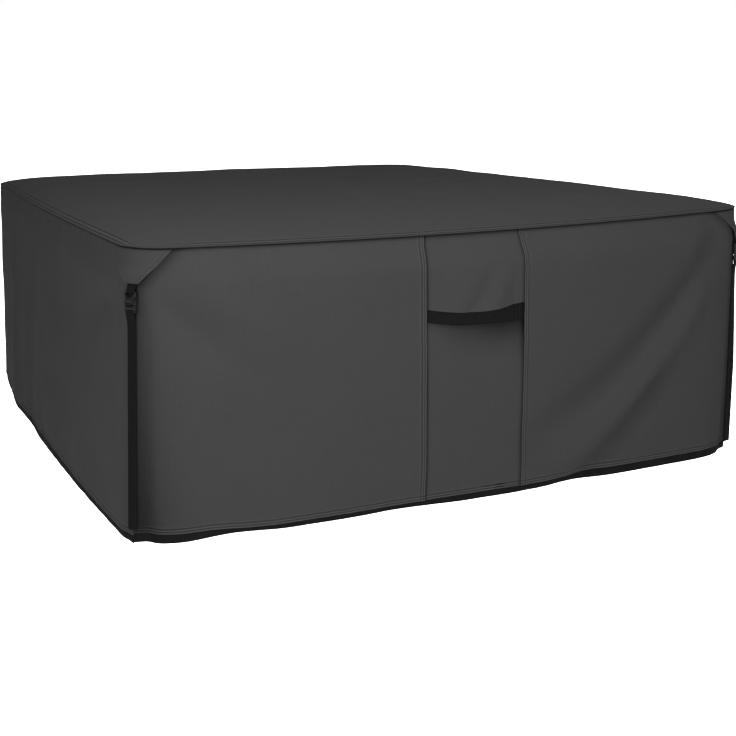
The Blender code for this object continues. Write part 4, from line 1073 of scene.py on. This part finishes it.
def strap_axes(corner_no, drop):
    """A point on the crease under a corner's strap, the way across the strap and the way out of it."""
    half = STRAP_WIDTH / 2
    beside = np.array([0.0, -half, half, 0.0])
    drops = drop + np.array([0.0, 0.0, 0.0, half])
    point, left, right, below = hang_by_corner(corner_no, beside, drops)[0]
    across = unit(right - left)
    out = unit(np.cross(below - point, across))
    drops, degrees = zip(*STRAP_TWISTS)
    twist = (CORNERS[corner_no].name == "fr") * np.radians(np.interp(drop, drops, degrees))
    turned = across * np.cos(twist) + out * np.sin(twist)
    point = point + (turned - across) * half
    return point, turned, out * np.cos(twist) - across * np.sin(twist)


WEBBING_COLUMNS = np.array([-1, -0.94, -0.7, -0.35, 0, 0.35, 0.7, 0.94, 1])


def webbing_strip(name, stations_along):
    """Ribbed webbing through stations, each a centre and the direction across it."""
    centres = np.array([centre for centre, _ in stations_along])
    acrosses = np.array([across for _, across in stations_along])
    length = np.concatenate([[0], np.cumsum(np.linalg.norm(np.diff(centres, axis=0), axis=1))])
    at = np.arange(0, length[-1], RIB_SPACING / 4)
    centre, across = read(at, length, centres), unit(read(at, length, acrosses))
    out = unit(np.cross(np.gradient(centre, axis=0), across))
    ribs = 0.5 * RIB_RISE * np.cos(2 * np.pi * at / RIB_SPACING)[:, None] * (1 - WEBBING_COLUMNS**8)
    aside = WEBBING_COLUMNS * STRAP_WIDTH / 2
    points = centre[:, None] + across[:, None] * aside[None, :, None]
    points = points + out[:, None] * (WEBBING / 2 + ribs)[..., None]
    places = np.stack(np.broadcast_arrays(at[:, None], aside), axis=-1)
    return finished(name, sheet_mesh(name, points, places), ribbed_polypropylene, WEBBING)


def on_wall(corner_no, rests, start=0.0):
    stations_here = []
    for drop, height in rests:
        point, across, out = strap_axes(corner_no, start + drop)
        stations_here.append((point + out * (height + WEBBING / 2), across))
    return stations_here


for corner_no, corner in enumerate(CORNERS):
    point, across, out = strap_axes(corner_no, BUCKLE_MOUTH)
    mouth, up = point + out * BUCKLE_OUT, np.cross(out, across)
    half_turn = np.linspace(0, np.pi, 15)
    over, under = [
        [
            (mouth + out * LOOP_RADIUS * np.cos(a) + up * (bar + way * LOOP_RADIUS * np.sin(a)), across)
            for a in turn
        ]
        for bar, way, turn in ((SOCKET_BAR, -1, half_turn), (PLUG_BAR, 1, half_turn[::-1]))
    ]
    tab = on_wall(corner_no, TAB_IN_FRONT) + over + on_wall(corner_no, TAB_BEHIND)
    tab_webbing = webbing_strip(f"buckle_tab_webbing_{corner.name}", tab)
    bar_drop = BUCKLE_MOUTH - PLUG_BAR
    hem = float(hem_drop(corner_no, np.array(start_run(corner_no, WALL_DROP)), "cloth"))
    steady = np.linspace(bar_drop + STRAP_STEADY, hem - STRAP_ENDS_ABOVE_HEM[corner.name], STRAP_STEPS)
    strap = on_wall(corner_no, STRAP_BEHIND, bar_drop) + under
    strap += on_wall(corner_no, STRAP_IN_FRONT, bar_drop)
    strap += on_wall(corner_no, [Rest(drop, GAP) for drop in steady])
    strap_webbing = webbing_strip(f"corner_strap_webbing_{corner.name}", strap)
    for piece, node, length in (
        (tab_webbing, "buckle_tab", TAB_LENGTH),
        (strap_webbing, "corner_strap", STRAP_LENGTH),
    ):
        set_in_place(piece, f"{node}_{corner.name}")
        under = [f"corner_gusset_cloth_{corner.name}"]

# Buckles. Side-release buckles moulded in black acetal, two halves at each corner: the socket above
# and the plug with its two sprung arms below.

# Injection-moulded acetal: black with a low gloss that the mould's fine grain breaks up
acetal, tree, shader = new_material("moulded_acetal")
place = add_node(tree, "ShaderNodeTexCoord").outputs["Object"]
GRAIN_SIZE = 0.0008
grain = {"Scale": 1 / GRAIN_SIZE, "Detail": 3.0}
grain = add_node(tree, "ShaderNodeTexNoise", {}, grain, {"Vector": place}).outputs["Fac"]
colour_pair = {"A": colour("#101011"), "B": colour("#1c1c1d")}
shade = add_node(tree, "ShaderNodeMix", IN_COLOUR, colour_pair, {"Factor": grain}).outputs["Result"]
tree.links.new(shade, shader.inputs["Base Color"])
shader.inputs["Roughness"].default_value = 0.34
shader.inputs["Specular IOR Level"].default_value = 0.45
fine = {"Strength": 0.25, "Distance": 0.00015}
fine = add_node(tree, "ShaderNodeBump", {}, fine, {"Height": grain}).outputs["Normal"]
tree.links.new(fine, shader.inputs["Normal"])

# Each half is moulded in blocks, by their widths, depths and heights and the places of their middles
# across, inwards and up from the socket's mouth
SOCKET_BLOCKS = (
    ((0.0240, 0.0090, 0.0245), (0, 0, 0.0136)),
    ((0.0325, 0.0090, 0.0060), (0, 0, 0.0043)),
    ((0.0325, 0.0090, 0.0080), (0, 0, 0.0219)),
    ((0.0180, 0.0012, 0.0130), (0, -0.0048, 0.0125)),
    ((0.0040, 0.0080, 0.0080), (-0.0142, 0, 0.0280)),
    ((0.0040, 0.0080, 0.0080), (0.0142, 0, 0.0280)),
    ((0.0300, BAR_THICK, BAR_THICK), (0, 0, SOCKET_BAR)),
)
PLUG_BLOCKS = (
    ((0.0325, 0.0080, 0.0092), (0, 0, -0.0058)),
    ((0.0200, 0.0012, 0.0030), (0, -0.0043, -0.0058)),
    ((0.0040, 0.0070, 0.0080), (-0.0142, 0, -0.0125)),
    ((0.0040, 0.0070, 0.0080), (0.0142, 0, -0.0125)),
    ((0.0300, BAR_THICK, BAR_THICK), (0, 0, PLUG_BAR)),
    ((0.0032, 0.0055, 0.0120), (-0.0142, 0, 0.0040)),
    ((0.0032, 0.0055, 0.0120), (0.0142, 0, 0.0040)),
    ((0.0044, 0.0060, 0.0080), (-0.0146, 0, 0.0125)),
    ((0.0044, 0.0060, 0.0080), (0.0146, 0, 0.0125)),
)
EDGE_ROUND, MOULDED_SHARP_ANGLE = 0.0007, np.radians(40)


def moulded(name, blocks, axes):
    """A moulding of blocks with rounded edges, set down on its axes."""
    bm = bmesh.new()
    for size, middle in blocks:
        place = Matrix.Translation(middle) @ Matrix.Diagonal((*size, 1))
        corners = bmesh.ops.create_cube(bm, size=1, matrix=place)["verts"]
        edges = list({edge for corner in corners for edge in corner.link_edges})
        rounding = min(EDGE_ROUND, 0.3 * min(size))
        bmesh.ops.bevel(
            bm,
            geom=edges,
            offset=rounding,
            segments=2,
            profile=0.5,
            affect="EDGES",
            material=-1,
            clamp_overlap=True,
        )
    bm.transform(axes)
    mesh = bpy.data.meshes.new(name)
    bm.to_mesh(mesh)
    bm.free()
    mesh.materials.append(acetal)
    mesh.shade_smooth()
    mesh.set_sharp_from_angle(angle=MOULDED_SHARP_ANGLE)
    moulding = bpy.data.objects.new(name, mesh)
    bpy.context.scene.collection.objects.link(moulding)
    return moulding


for corner_no, corner in enumerate(CORNERS):
    point, across, out = strap_axes(corner_no, BUCKLE_MOUTH)
    axes = Matrix((across, -out, np.cross(out, across))).transposed().to_4x4()
    axes.translation = point + out * BUCKLE_OUT
    for half, blocks in (("socket", SOCKET_BLOCKS), ("plug", PLUG_BLOCKS)):
        moulding = moulded(f"moulded_buckle_{half}_{corner.name}", blocks, axes)
        set_in_place(moulding, f"buckle_{half}_{corner.name}")

# Studio. A plain white floor of acrylic sheet below the hem, lit from below, softboxes round the front,
# broad fills from the right and behind, and the camera where the picture was taken from.
FLOOR_Z, FLOOR_HALF = -0.89, 60


def floor_sheet(name, height, glow):
    """A sheet of white glowing acrylic, 120 m across."""
    acrylic, _, shader = new_material(f"white_acrylic_{name}")
    shader.inputs["Base Color"].default_value = colour("#f4f4f4")
    shader.inputs["Roughness"].default_value = 0.9
    shader.inputs["Specular IOR Level"].default_value = 0.1
    shader.inputs["Emission Color"].default_value = (1, 1, 1, 1)
    shader.inputs["Emission Strength"].default_value = glow
    bm = bmesh.new()
    lowered = Matrix.Translation((0, 0, height))
    bmesh.ops.create_grid(bm, x_segments=1, y_segments=1, size=FLOOR_HALF, matrix=lowered)
    mesh = bpy.data.meshes.new(name)
    bm.to_mesh(mesh)
    bm.free()
    mesh.materials.append(acrylic)
    sheet = bpy.data.objects.new(name, mesh)
    bpy.context.scene.collection.objects.link(sheet)
    return sheet


# The floor that the camera sees is full white. A dimmer sheet just over it, hidden from the camera,
# throws the light that it would throw back on the cover at that exposure.
floor_sheet("floor", FLOOR_Z, 1.0)
floor_sheet("bounce", FLOOR_Z + 0.001, 0.25).visible_camera = False

world = bpy.data.worlds.new("studio")
bpy.context.scene.world = world
world.use_nodes = True
world.node_tree.nodes["Background"].inputs["Color"].default_value = (1, 1, 1, 1)
# The white surround is a backdrop alone: the lamps below give all the light
world.cycles_visibility.diffuse = False
world.cycles_visibility.glossy = False

Softbox = namedtuple("Softbox", "name place target size watts")
SOFTBOXES = (
    Softbox("over_front_edge", (-0.4, -2.2, 2.6), (-0.2, -0.8, -0.1), 1.6, 38.5),
    Softbox("right_of_front", (0.4, -3.2, 2.0), (0.2, -1.2, -0.3), 1.6, 3.4),
    Softbox("low_front", (-0.5, -3.0, 0.6), (-0.5, -1.2, -0.4), 1.4, 8.5),
    Softbox("left_front", (-2.2, -3.6, 1.4), (-0.6, -1.0, -0.3), 1.6, 24.0),
    Softbox("left_of_corner", (-2.3, -2.1, 0.8), (-0.9, -1.0, -0.4), 1.2, 9.5),
    Softbox("left_side", (-3.0, -1.6, 1.8), (-0.9, -0.8, -0.4), 1.6, 2.2),
)
# Broad fills from far off, by the turn from the front to the right, the height above the floor in
# degrees and the strength
Fill = namedtuple("Fill", "name turn height strength")
FILLS = (
    Fill("right_fill", 60, 30, 0.58),
    Fill("back_right_fill", 150, 40, 0.31),
    Fill("back_left_fill", -150, 40, 0.31),
)
FILL_SPREAD, FILL_AWAY = 60, 5


def light_from(name, kind, place, target):
    """A lamp at a place, turned to a target; no camera sees it."""
    lamp = bpy.data.lights.new(name, kind)
    holder = bpy.data.objects.new(name, lamp)
    turned = (Vector(target) - Vector(place)).to_track_quat("-Z", "Y").to_matrix().to_4x4()
    holder.matrix_world = Matrix.Translation(place) @ turned
    holder.visible_camera = False
    bpy.context.scene.collection.objects.link(holder)
    return lamp


for softbox in SOFTBOXES:
    lamp = light_from(softbox.name, "AREA", softbox.place, softbox.target)
    lamp.shape, lamp.size, lamp.energy = "DISK", softbox.size, softbox.watts
for fill in FILLS:
    turn, height = np.radians((fill.turn, fill.height))
    level = np.cos(height)
    place = FILL_AWAY * Vector((np.sin(turn) * level, -np.cos(turn) * level, np.sin(height)))
    lamp = light_from(fill.name, "SUN", place, (0, 0, 0))
    lamp.angle, lamp.energy = np.radians(FILL_SPREAD), fill.strength

CAMERA_PLACE = (-1.513, -3.904, 0.3255)
CAMERA_YAW, CAMERA_PITCH, CAMERA_ROLL = np.radians((23.605, 13.03, -0.882))
FOCAL_PIXELS, FRAME_PIXELS = 1211.7, 736
camera = bpy.data.cameras.new("camera")
camera.sensor_width = 36
camera.lens = FOCAL_PIXELS / FRAME_PIXELS * camera.sensor_width
level = Vector((np.sin(CAMERA_YAW), np.cos(CAMERA_YAW), 0))
aside = Vector((np.cos(CAMERA_YAW), -np.sin(CAMERA_YAW), 0))
above = Vector((0, 0, 1))
forward = level * np.cos(CAMERA_PITCH) - above * np.sin(CAMERA_PITCH)
upright = above * np.cos(CAMERA_PITCH) + level * np.sin(CAMERA_PITCH)
right = aside * np.cos(CAMERA_ROLL) + upright * np.sin(CAMERA_ROLL)
up = upright * np.cos(CAMERA_ROLL) - aside * np.sin(CAMERA_ROLL)
viewer = bpy.data.objects.new("camera", camera)
viewer.matrix_world = Matrix.Translation(CAMERA_PLACE) @ Matrix((right, up, -forward)).transposed().to_4x4()
bpy.context.scene.collection.objects.link(viewer)
bpy.context.scene.camera = viewer
bpy.context.scene.view_settings.view_transform = "Standard"
